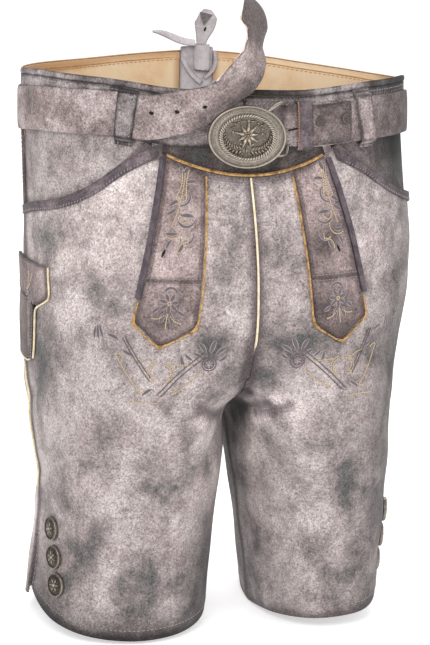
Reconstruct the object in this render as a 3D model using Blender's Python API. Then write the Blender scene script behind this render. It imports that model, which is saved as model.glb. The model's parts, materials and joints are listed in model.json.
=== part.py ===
"""Short leather trousers in their worn, hollow form, with their belt.

The frame is in metres: +X is the wearer's left, the front faces -Y and +Z is up. The origin is
the middle of the waist at the belt's height, where a wearer holds the trousers up.

Each leg half is one quarter surface: its horizontal sections run from the centre seam, or the
inseam below the fork, round to the side seam. Every panel is a net of points on that surface,
thickened inwards, and what lies on a panel is made from the same net, moved out.
"""

import functools
import math
from collections import namedtuple

import bpy
import numpy as np

# ---------------------------------------------------------------- driving dimensions
LEATHER = 0.0018            # thickness of the body leather
GAP = 0.0003                # clearance between neighbouring pieces
BACKING_GAP = 0.0007        # between a panel and the leather behind it
TRIM = 0.0016               # thickness of leather laid on a panel
ROUND = 2.25                # 2 would make the sections ellipses, and more squares them

RIM_Z = 0.0350              # top of the waistband
BAND_LOW_Z = -0.0120        # bottom edge of the waistband
TIP_Z = -0.1600             # lower corners of the flap bands
FORK_Z = -0.2450            # where the legs part
SLIT_Z = -0.3300            # top of the side slits
HEM_Z = -0.4490

FLAP_LOW_Z = -0.0370        # lowest point of the flap's curved top
FLAP_RISE = 0.0155          # how far its ends stand above that
POCKET_FALL = 0.0550        # depth of the pocket mouth's curve
POCKET_DROOP = 0.0110       # further fall close to the side seam
HIDDEN_LAP = 0.0150         # how far a backing runs on behind a panel

BELT_HALF = 0.0182           # half of the belt's width
BELT_STAND = 0.0006         # from the waistband to the belt
MOUTH_TOP_Z = -0.0187        # where the pockets' bindings start
BELT_THICK = 0.0030

BEAD = 0.0014               # radius of the gold piping
THIN_BEAD = 0.0010          # radius of the seam piping

# One row for each horizontal section: half widths, how far the legs have parted (0 to 1), the
# gap from the centre plane to each inseam, the sideways shifts, depths, and the left leg's setback.
Section = namedtuple(
    "Section",
    "z right_out left_out front_fork back_fork right_gap left_gap shift seam_shift"
    " front_y side_y back_y left_set",
)
SECTIONS = (
    Section(0.050, 0.1665, 0.1665, 0.00, 0.00, 0.0000, 0.0000, -0.0060, 0.008, -0.110, 0.000, 0.094, 0.000),
    Section(0.000, 0.1668, 0.1665, 0.00, 0.00, 0.0000, 0.0000, -0.0055, 0.0075, -0.114, 0.000, 0.097, 0.000),
    Section(-0.050, 0.1697, 0.1643, 0.00, 0.00, 0.0000, 0.0000, -0.0005, 0.005, -0.124, 0.000, 0.106, 0.000),
    Section(-0.105, 0.1715, 0.1642, 0.00, 0.01, 0.0000, 0.0000, 0.0030, 0.002, -0.133, -0.004, 0.115, 0.000),
    Section(-0.150, 0.1720, 0.1620, 0.01, 0.06, 0.0000, 0.0000, 0.0040, 0.000, -0.136, -0.008, 0.119, 0.000),
    Section(-0.180, 0.1703, 0.1580, 0.07, 0.21, 0.0000, 0.0000, 0.0020, 0.000, -0.136, -0.010, 0.120, 0.000),
    Section(-0.205, 0.1680, 0.1545, 0.36, 0.50, 0.0000, 0.0000, 0.0000, 0.000, -0.135, -0.012, 0.118, 0.000),
    Section(-0.230, 0.1650, 0.1520, 0.82, 0.86, 0.0002, 0.0002, -0.0020, 0.000, -0.132, -0.013, 0.114, 0.000),
    Section(-0.245, 0.1630, 0.1515, 1.00, 1.00, 0.0008, 0.0012, -0.0030, 0.000, -0.129, -0.014, 0.111, 0.000),
    Section(-0.290, 0.1580, 0.1500, 1.00, 1.00, 0.0018, 0.0110, -0.0010, 0.000, -0.121, -0.015, 0.104, 0.003),
    Section(-0.330, 0.1558, 0.1485, 1.00, 1.00, 0.0032, 0.0185, 0.0000, 0.000, -0.115, -0.015, 0.099, 0.006),
    Section(-0.390, 0.1580, 0.1468, 1.00, 1.00, 0.0075, 0.0275, 0.0000, 0.000, -0.109, -0.015, 0.095, 0.010),
    Section(-0.460, 0.1640, 0.1440, 1.00, 1.00, 0.0120, 0.0365, 0.0000, 0.000, -0.106, -0.015, 0.093, 0.014),
)

# How far the edges rise above level at the waist and at the hem, from centre or inseam to side.
Hang = namedtuple("Hang", "side face edge seam inner middle outer corner")
HANGS = (
    Hang(-1, "front", "waist", 0.000, 0.001, 0.008, 0.009, 0.004),
    Hang(1, "front", "waist", 0.000, -0.002, 0.001, -0.001, -0.010),
    Hang(-1, "back", "waist", 0.003, 0.001, -0.001, 0.001, 0.004),
    Hang(1, "back", "waist", 0.003, -0.002, -0.009, -0.013, -0.010),
    Hang(-1, "front", "hem", 0.028, 0.013, 0.0095, 0.0180, 0.034),
    Hang(1, "front", "hem", 0.008, 0.013, 0.017, 0.022, 0.033),
    Hang(-1, "back", "hem", 0.026, 0.015, 0.011, 0.0175, 0.029),
    Hang(1, "back", "hem", 0.008, 0.012, 0.016, 0.022, 0.033),
)
HANG_SHARES = (0.0, 0.25, 0.5, 0.8, 1.0)

# Share of the way from centre to side at three heights, for each line of the front's net.
Column = namedtuple("Column", "name rim tip leg")
FRONT_COLUMNS = (
    Column("centre", 0.000, 0.000, 0.000),
    Column("flap_a", 0.036, 0.054, 0.075),
    Column("flap_b", 0.072, 0.108, 0.150),
    Column("flap_c", 0.108, 0.162, 0.235),
    Column("band_inner", 0.141, 0.215, 0.330),
    Column("band_a", 0.166, 0.264, 0.395),
    Column("band_tip", 0.191, 0.314, 0.460),
    Column("band_b", 0.216, 0.372, 0.520),
    Column("band_outer", 0.242, 0.430, 0.580),
    Column("mouth", 0.330, 0.480, 0.620),
    Column("loop_a", 0.404, 0.530, 0.660),
    Column("loop_b", 0.504, 0.590, 0.705),
    Column("hip_a", 0.600, 0.655, 0.750),
    Column("hip_b", 0.695, 0.720, 0.795),
    Column("knife_front", 0.790, 0.785, 0.840),
    Column("knife_step", 0.885, 0.882, 0.905),
    Column("side", 1.000, 1.000, 1.000),
)
BACK_COLUMNS = (
    Column("centre", 0.000, 0.000, 0.000),
    Column("seat_a", 0.110, 0.110, 0.090),
    Column("seat_b", 0.220, 0.220, 0.180),
    Column("seat_c", 0.330, 0.330, 0.280),
    Column("loop_a", 0.430, 0.430, 0.390),
    Column("loop_b", 0.535, 0.535, 0.500),
    Column("hip_a", 0.650, 0.650, 0.620),
    Column("hip_b", 0.770, 0.770, 0.750),
    Column("knife_back", 0.910, 0.915, 0.905),
    Column("side", 1.000, 1.000, 1.000),
)

# Cross lines of the net: heights at named columns, straight between them.
Line = namedtuple("Line", "name centre band_inner band_tip band_outer knife_step side cells_above")
FRONT_LINES = (
    Line("band_seam", -0.122, -0.122, -0.122, -0.122, -0.122, -0.122, 4),
    Line("tip", -0.161, -0.160, -0.177, -0.157, -0.153, -0.153, 2),
    Line("knife_foot", -0.209, -0.209, -0.209, -0.209, -0.209, -0.209, 2),
    Line("fork", FORK_Z, FORK_Z, FORK_Z, FORK_Z, FORK_Z, FORK_Z, 3),
    Line("slit", SLIT_Z, SLIT_Z, SLIT_Z, SLIT_Z, SLIT_Z, SLIT_Z, 3),
    Line("hem", HEM_Z, HEM_Z, HEM_Z, HEM_Z, HEM_Z, HEM_Z, 5),
)
BackLine = namedtuple("BackLine", "name centre side cells_above")
BACK_LINES = (
    BackLine("mouth_end", -0.079, -0.079, 3),
    BackLine("band_seam", -0.122, -0.122, 2),
    BackLine("tip", -0.153, -0.153, 2),
    BackLine("knife_foot", -0.209, -0.209, 3),
    BackLine("fork", FORK_Z, FORK_Z, 3),
    BackLine("slit", SLIT_Z, SLIT_Z, 3),
    BackLine("hem", HEM_Z, HEM_Z, 5),
)

# Largest folds: where each one's middle is, how it runs, its size, and how far it stands out.
Fold = namedtuple("Fold", "side face share z slope length width out")
FOLDS = (
    Fold(-1, "front", 0.16, -0.262, 58, 0.050, 0.013, -0.0035),
    Fold(1, "front", 0.15, -0.258, 60, 0.046, 0.012, -0.0032),
    Fold(-1, "front", 0.34, -0.290, 28, 0.060, 0.015, 0.0028),
    Fold(-1, "front", 0.52, -0.345, 22, 0.065, 0.016, -0.0026),
    Fold(1, "front", 0.40, -0.330, 30, 0.055, 0.015, -0.0028),
    Fold(1, "front", 0.58, -0.385, 18, 0.050, 0.016, 0.0024),
    Fold(-1, "front", 0.30, -0.405, 12, 0.050, 0.018, 0.0024),
    Fold(-1, "back", 0.25, -0.215, 40, 0.060, 0.016, -0.0034),
    Fold(1, "back", 0.22, -0.222, 44, 0.056, 0.015, -0.0030),
    Fold(-1, "back", 0.48, -0.250, 20, 0.060, 0.018, 0.0030),
    Fold(1, "back", 0.52, -0.262, 16, 0.055, 0.017, 0.0028),
    Fold(-1, "back", 0.45, -0.350, 14, 0.060, 0.017, -0.0026),
    Fold(1, "back", 0.40, -0.372, 20, 0.052, 0.016, -0.0024),
)

RIGHT, LEFT = -1, 1
SIDES = {"r": RIGHT, "l": LEFT}

COLOURS = {
    "suede": ((0.42, 0.39, 0.38), 0.9, 0.0),
    "suede_dark": ((0.16, 0.14, 0.14), 0.85, 0.0),
    "belt": ((0.27, 0.25, 0.26), 0.8, 0.0),
    "lining": ((0.78, 0.58, 0.34), 0.7, 0.0),
    "piping": ((0.66, 0.42, 0.12), 0.6, 0.0),
    "binding": ((0.10, 0.08, 0.09), 0.6, 0.0),
    "lace": ((0.62, 0.58, 0.58), 0.85, 0.0),
    "pewter": ((0.22, 0.21, 0.17), 0.4, 1.0),
}


# ---------------------------------------------------------------- curves and the quarter surface
def smooth_value(xs, ys, x):
    """Value at x on a smooth curve through the points that never swings past them."""
    x = min(max(x, xs[0]), xs[-1])
    i = min(max(int(np.searchsorted(xs, x)) - 1, 0), len(xs) - 2)
    slopes = np.diff(ys) / np.diff(xs)

    def tangent(k):
        if k == 0 or k == len(xs) - 1:
            return slopes[min(k, len(slopes) - 1)]
        before, after = slopes[k - 1], slopes[k]
        return 0.0 if before * after <= 0 else 2 * before * after / (before + after)

    h = xs[i + 1] - xs[i]
    t = (x - xs[i]) / h
    rise = ys[i + 1] - ys[i]
    first, last = tangent(i) * h, tangent(i + 1) * h
    return ys[i] + t * first + t * t * (3 * rise - 2 * first - last) + t**3 * (first + last - 2 * rise)


SECTION_TABLE = np.array(SECTIONS[::-1])


@functools.lru_cache(maxsize=None)
def section(z):
    """The row of sizes at height z."""
    heights = SECTION_TABLE[:, 0]
    columns = range(1, len(Section._fields))
    return Section(z, *(smooth_value(heights, SECTION_TABLE[:, k], z) for k in columns))


@functools.lru_cache(maxsize=None)
def quarter(side, face, z):
    """A quarter section's points at height z, the length up to each, and its middle."""
    row = section(z)
    out = row.right_out if side == RIGHT else row.left_out
    gap = (row.right_gap if side == RIGHT else row.left_gap) + GAP / 2
    fork = row.front_fork if face == "front" else row.back_fork
    depth = (row.front_y if face == "front" else row.back_y) - row.side_y
    half = (out - gap) / (1 + fork)
    middle = out - half
    turn = np.linspace(-math.asin(fork ** (ROUND / 2)), math.pi / 2, 97)
    sine, cosine = np.sin(turn), np.maximum(np.cos(turn), 0.0)
    x = middle + half * np.sign(sine) * np.abs(sine) ** (2 / ROUND)
    y = row.side_y + depth * cosine ** (2 / ROUND)
    y = y + (row.left_set if side == LEFT else 0.0)
    across = side * x + row.shift
    if face == "back":
        across = across + row.seam_shift * cosine
    points = np.stack([across, y, np.full_like(x, z)], axis=1)
    lengths = np.concatenate([[0.0], np.cumsum(np.linalg.norm(np.diff(points, axis=0), axis=1))])
    return points, lengths, np.array([side * middle + row.shift, y[-1], z])


HANG_TABLE = {(hang.side, hang.face, hang.edge): np.array(hang[3:]) for hang in HANGS}


def hang_at(side, face, share, z):
    """How far the cloth is raised at a share and height by the waist's and hem's rise."""
    total = 0.0
    waist = min(max((z + 0.075) / 0.075, 0.0), 1.0)
    hem = min(max((SLIT_Z + 0.040 - z) / (SLIT_Z + 0.040 - HEM_Z), 0.0), 1.0)
    for edge, way in (("waist", waist), ("hem", hem)):
        if way > 0:
            rises = HANG_TABLE[side, face, edge]
            total += way * way * (3 - 2 * way) * smooth_value(np.array(HANG_SHARES), rises, share)
    return total


def on_quarter(side, face, share, z):
    """The plain surface's point a share of the way from centre to side."""
    points, lengths, _ = quarter(side, face, z)
    start, end = GAP / 2, lengths[-1] - GAP / 2
    share = min(max(share, 0.0), 1.0)
    at = start + share * (end - start)
    point = np.array([np.interp(at, lengths, points[:, k]) for k in range(3)])
    point[2] += hang_at(side, face, share, z)
    return point


def normal_at(side, face, share, z):
    """The outward direction of the plain surface."""
    step, rise = 0.01, 0.004
    low, high = max(share - step, 0.0), min(share + step, 1.0)
    across = on_quarter(side, face, high, z) - on_quarter(side, face, low, z)
    along = on_quarter(side, face, share, z + rise) - on_quarter(side, face, share, z - rise)
    normal = np.cross(across, along)
    normal /= np.linalg.norm(normal)
    outward = on_quarter(side, face, share, z) - quarter(side, face, z)[2]
    return normal if normal @ outward > 0 else -normal


def fold_out(side, face, share, z):
    """How far the folds push the surface out."""
    total = 0.0
    length = quarter(side, face, z)[1][-1]
    for fold in FOLDS:
        if (fold.side, fold.face) != (side, face):
            continue
        across, up = (share - fold.share) * length, z - fold.z
        slope = math.radians(fold.slope)
        along = across * math.cos(slope) + up * math.sin(slope)
        beside = up * math.cos(slope) - across * math.sin(slope)
        total += fold.out * math.exp(-((along / fold.length) ** 2) - (beside / fold.width) ** 2)
    return total


def cloth(side, face, share, z, out=0.0):
    """A point on the folded surface, moved out by a distance, and the outward direction."""
    normal = normal_at(side, face, share, z)
    point = on_quarter(side, face, share, z) + normal * (fold_out(side, face, share, z) + out)
    return point, normal


def share_at(column, z):
    """A net line's share at height z."""
    heights = np.array([FORK_Z, TIP_Z, RIM_Z])
    return smooth_value(heights, np.array([column.leg, column.tip, column.rim]), z)


# ---------------------------------------------------------------- nets of points
class Net:
    """Rows and columns of points on one or more quarters, with outward directions."""

    def __init__(self, points, normals):
        self.points = np.asarray(points)
        self.normals = np.asarray(normals)

    @classmethod
    def on(cls, side, face, columns, heights):
        """A net with a column of points for each net line; heights gives each one's rows."""
        pairs = [
            [cloth(side, face, share_at(column, z), z) for z in heights(column)] for column in columns
        ]
        points = np.array([[pair[0] for pair in column] for column in pairs]).transpose(1, 0, 2)
        normals = np.array([[pair[1] for pair in column] for column in pairs]).transpose(1, 0, 2)
        return cls(points, normals)

    def beside(self, other):
        """This net with another net's columns after its own."""
        return Net(
            np.concatenate([self.points, other.points], axis=1),
            np.concatenate([self.normals, other.normals], axis=1),
        )

    def reversed(self):
        """This net with its columns in the other order."""
        return Net(self.points[:, ::-1], self.normals[:, ::-1])

    def cut(self, rows, columns):
        """The part of this net between two rows and two columns, both included."""
        part = (slice(rows[0], rows[1] + 1), slice(columns[0], columns[1] + 1))
        return Net(self.points[part], self.normals[part])

    def row(self, index):
        """One row as (point, normal) pairs."""
        return list(zip(self.points[index], self.normals[index]))


def column_index(columns, name):
    """Where a named line stands in a table of net lines."""
    return [column.name for column in columns].index(name)


def mouth_top(column):
    """Height of the front panel's top edge at a net line."""
    outer = FRONT_COLUMNS[column_index(FRONT_COLUMNS, "band_outer")].rim
    start = FRONT_COLUMNS[column_index(FRONT_COLUMNS, "mouth")].rim
    if column.rim <= outer:
        return FLAP_LOW_Z + FLAP_RISE * (column.rim / outer) ** 2
    if column.rim <= start:
        return BAND_LOW_Z - GAP
    way = (column.rim - start) / (1 - start)
    return BAND_LOW_Z - GAP - POCKET_FALL * (1 - (1 - way) ** 2.8) - POCKET_DROOP * way**6


def line_height(line, column):
    """Height of a cross line at a net line."""
    names = [name for name in line._fields[1:-1]]
    keys = [column_index(FRONT_COLUMNS, name) for name in names]
    here = column_index(FRONT_COLUMNS, column.name)
    return float(np.interp(here, keys, [getattr(line, name) for name in names]))


def stepped(heights, counts):
    """Heights with evenly spaced ones put between each pair."""
    steps = [heights[0]]
    for low, high, count in zip(heights[1:], heights[:-1], counts):
        steps += [high + (low - high) * k / count for k in range(1, count + 1)]
    return steps


def front_heights(column):
    """Rows of the front panel at a net line, from the top edge to the hem."""
    heights = [mouth_top(column)] + [line_height(line, column) for line in FRONT_LINES]
    return stepped(heights, [line.cells_above for line in FRONT_LINES])


def back_heights(column):
    """Rows of the back panel at a net line, from the waistband to the hem."""
    way = column.rim
    heights = [BAND_LOW_Z - GAP] + [line.centre + way * (line.side - line.centre) for line in BACK_LINES]
    return stepped(heights, [line.cells_above for line in BACK_LINES])


def rows_to(lines, name):
    """Row number of a named cross line."""
    total = 0
    for line in lines:
        total += line.cells_above
        if line.name == name:
            return total
    raise KeyError(name)


# ---------------------------------------------------------------- meshes
def finish(name, vertices, faces, finish_name):
    """A closed object from points and faces, with its faces turned out and its material."""
    mesh = bpy.data.meshes.new(name)
    mesh.from_pydata([tuple(map(float, point)) for point in vertices], [], faces)
    mesh.validate()
    thirds = [(f[0], f[k], f[k + 1]) for f in faces for k in range(1, len(f) - 1)]
    corners = np.array([[vertices[i] for i in third] for third in thirds])
    volume = (corners[:, 0] * np.cross(corners[:, 1], corners[:, 2])).sum()
    if volume < 0:
        mesh.flip_normals()
    colour, rough, metal = COLOURS[finish_name]
    material = bpy.data.materials.get(finish_name) or bpy.data.materials.new(finish_name)
    material.use_nodes = True
    shader = material.node_tree.nodes["Principled BSDF"]
    shader.inputs["Base Color"].default_value = (*colour, 1.0)
    shader.inputs["Roughness"].default_value = rough
    shader.inputs["Metallic"].default_value = metal
    mesh.materials.append(material)
    mesh.shade_smooth()
    mesh.set_sharp_from_angle(angle=math.radians(35))
    made = bpy.data.objects.new(name, mesh)
    bpy.context.collection.objects.link(made)
    return made


def slab(name, net, low, high, finish_name, cells=None):
    """A sheet between two distances from a net, over all of its cells or the chosen ones."""
    rows, columns = net.points.shape[:2]
    cells = cells or {(i, j) for i in range(rows - 1) for j in range(columns - 1)}
    used = sorted({(i + a, j + b) for i, j in cells for a in (0, 1) for b in (0, 1)})
    number = {key: k for k, key in enumerate(used)}
    count = len(used)
    vertices = [net.points[key] + net.normals[key] * high for key in used]
    vertices += [net.points[key] + net.normals[key] * low for key in used]
    faces = []
    for i, j in sorted(cells):
        a, b, c, d = (number[key] for key in ((i, j), (i, j + 1), (i + 1, j + 1), (i + 1, j)))
        faces += [(a, b, c), (a, c, d)]
        faces += [(count + c, count + b, count + a), (count + d, count + c, count + a)]
        sides = ((a, b, (i - 1, j)), (b, c, (i, j + 1)), (c, d, (i + 1, j)), (d, a, (i, j - 1)))
        for one, two, beside in sides:
            if beside not in cells:
                faces += [(two, one, count + one), (two, count + one, count + two)]
    return finish(name, vertices, faces, finish_name)


def loft(name, rings, finish_name):
    """A closed solid through rings of equally many points, with flat ends."""
    size = len(rings[0])
    vertices = [point for ring in rings for point in ring]
    faces = []
    for k in range(len(rings) - 1):
        for i in range(size):
            a, b = k * size + i, k * size + (i + 1) % size
            faces += [(a, b, b + size), (a, b + size, a + size)]
    last = (len(rings) - 1) * size
    faces += [(0, i + 1, i) for i in range(1, size - 1)]
    faces += [(last, last + i, last + i + 1) for i in range(1, size - 1)]
    return finish(name, vertices, faces, finish_name)


def unit(vector):
    """The direction of a vector."""
    return np.asarray(vector) / np.linalg.norm(vector)


def bead(name, path, wide, high, finish_name, sides=6):
    """A rounded strip along a path of (point, outward direction), wide by high."""
    points = np.array([point for point, _ in path])
    rings = []
    for k, (point, normal) in enumerate(path):
        along = unit(points[min(k + 1, len(path) - 1)] - points[max(k - 1, 0)])
        across = unit(np.cross(along, normal))
        up = np.cross(across, along)
        angles = [math.tau * (i + 0.5) / sides for i in range(sides)]
        rings.append([point + across * wide / 2 * math.cos(a) + up * high / 2 * math.sin(a) for a in angles])
    return loft(name, rings, finish_name)


# ---------------------------------------------------------------- leather of the legs and waist
def front_net(side):
    return Net.on(side, "front", FRONT_COLUMNS, front_heights)


def back_net(side):
    return Net.on(side, "back", BACK_COLUMNS, back_heights)


def make_panels(tag, side, front, back):
    """The two panels of one leg."""
    slab(f"front_panel_{tag}", front, -LEATHER, 0.0, "suede")
    slab(f"back_panel_{tag}", back, -LEATHER, 0.0, "suede")


def make_hip_facing(tag, side):
    """The leather behind the pocket mouth, seen between it and the waistband."""
    outer = FRONT_COLUMNS[column_index(FRONT_COLUMNS, "mouth")]
    first = Column("facing_edge", outer.rim - 0.022, outer.tip - 0.022, outer.leg - 0.022)
    columns = (first,) + FRONT_COLUMNS[column_index(FRONT_COLUMNS, "mouth"):]

    def heights(column):
        low = min(mouth_top(column), mouth_top(outer) - HIDDEN_LAP) - HIDDEN_LAP
        return stepped([BAND_LOW_Z + HIDDEN_LAP / 2, BAND_LOW_Z - GAP, low], [1, 3])

    net = Net.on(side, "front", columns, heights)
    slab(f"hip_facing_{tag}", net, -2 * LEATHER - BACKING_GAP, -LEATHER - BACKING_GAP, "suede")


def make_underflap():
    """The leather behind the flap's curved top, across the centre."""
    outer = FRONT_COLUMNS[column_index(FRONT_COLUMNS, "band_outer")]
    last = Column("under_edge", outer.rim + 0.018, outer.tip + 0.018, outer.leg + 0.018)
    columns = FRONT_COLUMNS[1:column_index(FRONT_COLUMNS, "band_outer") + 1] + (last,)

    def heights(column):
        low = min(mouth_top(column), FLAP_LOW_Z + FLAP_RISE) - HIDDEN_LAP
        return stepped([BAND_LOW_Z + HIDDEN_LAP / 2, BAND_LOW_Z - GAP, low], [1, 2])

    centre = Net.on(RIGHT, "front", FRONT_COLUMNS[:1], heights)
    centre.points[:, :, 0] += GAP
    right = Net.on(RIGHT, "front", columns, heights).reversed()
    left = Net.on(LEFT, "front", columns, heights)
    net = right.beside(centre).beside(left)
    slab("underflap", net, -2 * LEATHER - BACKING_GAP, -LEATHER - BACKING_GAP, "suede_dark")


SPLIT_TOP = 0.0095          # half width of the laced split at the rim
SPLIT_FOOT = 0.0015
EDGE_ROLL = 0.0050          # height of the rolled edge on the front rim
RIM_EDGE_REACH = 0.998      # share of the front that its rolled edge covers


def make_waistband(tag, side):
    """The waistband's front and back quarters, and the rolled edge on the front one."""
    roll_z = RIM_Z - EDGE_ROLL

    def front_rows(column):
        return [roll_z - GAP, 0.010, BAND_LOW_Z]

    def back_rows(column):
        return [RIM_Z, 0.010, BAND_LOW_Z]

    slab(f"waistband_front_{tag}", Net.on(side, "front", FRONT_COLUMNS, front_rows), -LEATHER, 0.0, "suede")
    net = Net.on(side, "back", BACK_COLUMNS, back_rows)
    for row, z in enumerate(back_rows(BACK_COLUMNS[0])):
        way = (z - BAND_LOW_Z) / (RIM_Z - BAND_LOW_Z)
        half = SPLIT_FOOT + way * (SPLIT_TOP - SPLIT_FOOT)
        share = half / quarter(side, "back", z)[1][-1]
        net.points[row, 0], net.normals[row, 0] = cloth(side, "back", share, z)
    slab(f"waistband_back_{tag}", net, -LEATHER, 0.0, "suede")
    path = [
        cloth(side, "front", share_at(column, RIM_Z) * RIM_EDGE_REACH, RIM_Z - EDGE_ROLL / 2, -LEATHER / 2)
        for column in FRONT_COLUMNS
    ]
    bead(f"rim_edge_{tag}", path, EDGE_ROLL, 0.0036, "binding")


LINING = 0.0012
LINING_DEPTH = 0.058
GUSSET_HALF = 0.0145
GUSSET = 0.0014


def make_lining(tag, side):
    """The tan facing inside the back of the waist, from the gusset to the side seam."""

    def rows(column):
        return [RIM_Z - 0.001, 0.012, BAND_LOW_Z, RIM_Z - LINING_DEPTH]

    net = Net.on(side, "back", BACK_COLUMNS, rows)
    for row, z in enumerate(rows(BACK_COLUMNS[0])):
        share = (GUSSET_HALF + 0.0005) / quarter(side, "back", z)[1][-1]
        net.points[row, 0], net.normals[row, 0] = cloth(side, "back", share, z)
    slab(f"lining_{tag}", net, -LEATHER - GAP - LINING, -LEATHER - GAP, "lining")


def centre_back(z, across, out):
    """A point near the centre back, a distance across from it and out from the leather."""
    side = RIGHT if across < 0 else LEFT
    share = abs(across) / quarter(side, "back", z)[1][-1]
    return cloth(side, "back", share, z, out)


def make_gusset():
    """The pale leather behind the laced split."""
    steps = (-GUSSET_HALF, -0.009, 0.0, 0.009, GUSSET_HALF)
    heights = (0.0385, 0.024, 0.004, -0.016, -0.034)
    pairs = [[centre_back(z, across, 0.0) for across in steps] for z in heights]
    net = Net([[p for p, _ in row] for row in pairs], [[n for _, n in row] for row in pairs])
    slab("lace_gusset", net, -LEATHER - GAP - GUSSET, -LEATHER - GAP, "lace")


# ---------------------------------------------------------------- flap bands, bindings and piping
ROLL_WIDE = 0.0058
ROLL_HIGH = 0.0042


def beside_line(net, column, rows, away, out):
    """A path beside one net column, a distance away from it towards the centre or the side."""
    path = []
    toward = 1 if away > 0 else -1
    for row in range(rows[0], rows[1] + 1):
        point, normal = net.points[row, column], net.normals[row, column]
        across = unit(net.points[row, column + toward] - point)
        path.append((point + across * abs(away) + normal * out, normal))
    return path


def make_band(tag, side, front):
    """A flap band with its pointed end, gold piping and dark roll."""
    inner = column_index(FRONT_COLUMNS, "band_inner")
    middle = column_index(FRONT_COLUMNS, "band_tip")
    outer = column_index(FRONT_COLUMNS, "band_outer")
    seam, tip = rows_to(FRONT_LINES, "band_seam"), rows_to(FRONT_LINES, "tip")
    upper = front.cut((0, seam), (inner, outer))
    upper.points[-1] += unit(upper.points[-2, 1] - upper.points[-1, 1]) * GAP
    slab(f"flap_band_{tag}", upper, GAP, GAP + TRIM, "suede")
    slab(f"band_tip_{tag}", front.cut((seam, tip), (inner, outer)), GAP, GAP + TRIM, "suede")

    stand = GAP + BEAD
    off = GAP + BEAD
    inner_path = beside_line(front, inner, (0, tip), -off, stand)
    first, direction = inner_path[0]
    down = unit(inner_path[1][0] - first)
    inner_path[0] = (first + down * 2 * (BEAD + GAP), direction)

    def below(column, row=tip):
        point, normal = front.points[row, column], front.normals[row, column]
        downward = unit(front.points[row + 1, column] - point)
        return point + downward * off / 0.86 + normal * stand, normal

    corner_in, corner_out = below(inner), below(outer)
    inward = unit(front.points[tip, inner - 1] - front.points[tip, inner])
    outward = unit(front.points[tip, outer + 1] - front.points[tip, outer])
    path = inner_path[:-1]
    path.append((corner_in[0] + inward * off, corner_in[1]))
    path += [below(column) for column in range(inner + 1, outer)]
    path.append((corner_out[0] + outward * off, corner_out[1]))
    path += beside_line(front, outer, (tip - 1, tip - 1), off, stand)
    bead(f"band_piping_{tag}", path, 2 * BEAD, 2 * BEAD, "piping")

    roll = beside_line(front, outer, (0, tip - 1), GAP + ROLL_WIDE / 2, GAP + ROLL_HIGH / 2)
    start, normal = roll[0]
    roll[0] = (start + unit(roll[1][0] - start) * 0.0030, normal)
    end, normal = roll[-1]
    roll[-1] = (end + unit(roll[-2][0] - end) * 0.0022, normal)
    bead(f"band_roll_{tag}", roll, ROLL_WIDE, ROLL_HIGH, "binding")
    return middle


def make_flap_piping(nets):
    """The gold piping along the flap's curved top."""
    outer = column_index(FRONT_COLUMNS, "band_outer")
    path = []
    for side, step in ((RIGHT, -1), (LEFT, 1)):
        net = nets[side]
        part = []
        for column in range(0, outer + 1):
            point, normal = net.points[0, column], net.normals[0, column]
            upward = unit(point - net.points[1, column])
            part.append((point + upward * (BEAD + GAP) + normal * 0.0004, normal))
        path += part[::-1] if step < 0 else part[1:]
    bead("flap_piping", path, 2 * BEAD, 2 * BEAD, "piping")


def make_centre_piping(nets):
    """The thin piping over the centre front seam, from the flap's top to the fork."""
    path = []
    last = rows_to(FRONT_LINES, "knife_foot")
    for row in range(0, last + 1):
        right, left = nets[RIGHT].points[row, 0], nets[LEFT].points[row, 0]
        normal = unit(nets[RIGHT].normals[row, 0] + nets[LEFT].normals[row, 0])
        lean = max(float(normal @ nets[RIGHT].normals[row, 0]), 0.5)
        path.append(((right + left) / 2 + normal * (THIN_BEAD + GAP) / lean, normal))
    first, normal = path[0]
    path[0] = (first + unit(path[1][0] - first) * 0.0002, normal)
    bead("centre_piping", path, 2 * THIN_BEAD, 2 * THIN_BEAD, "piping")


def make_side_piping(tag, side, from_z):
    """The thin piping over a side seam, down to its slit."""
    count = 9
    path = []
    for k in range(count + 1):
        z = from_z + (SLIT_Z - from_z) * k / count
        path.append(cloth(side, "front", 1.0, z, THIN_BEAD + 3 * GAP))
    bead(f"side_piping_{tag}", path, 2 * THIN_BEAD, 2 * THIN_BEAD, "piping")


BINDING = 0.0080


def make_pocket_binding(tag, side):
    """The dark stitched strip under a pocket mouth."""
    columns = FRONT_COLUMNS[column_index(FRONT_COLUMNS, "mouth"):]

    def heights(column):
        here = column_index(columns, column.name)
        near = columns[max(here - 1, 0)], columns[min(here + 1, len(columns) - 1)]
        run = (near[1].rim - near[0].rim) * 0.23
        fall = (mouth_top(near[0]) - mouth_top(near[1])) / run
        top = min(mouth_top(column), MOUTH_TOP_Z)
        return [top, top - BINDING * min(math.hypot(1, fall), 1.7)]

    slab(f"pocket_binding_{tag}", Net.on(side, "front", columns, heights), GAP, GAP + 0.0015, "binding")


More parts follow.
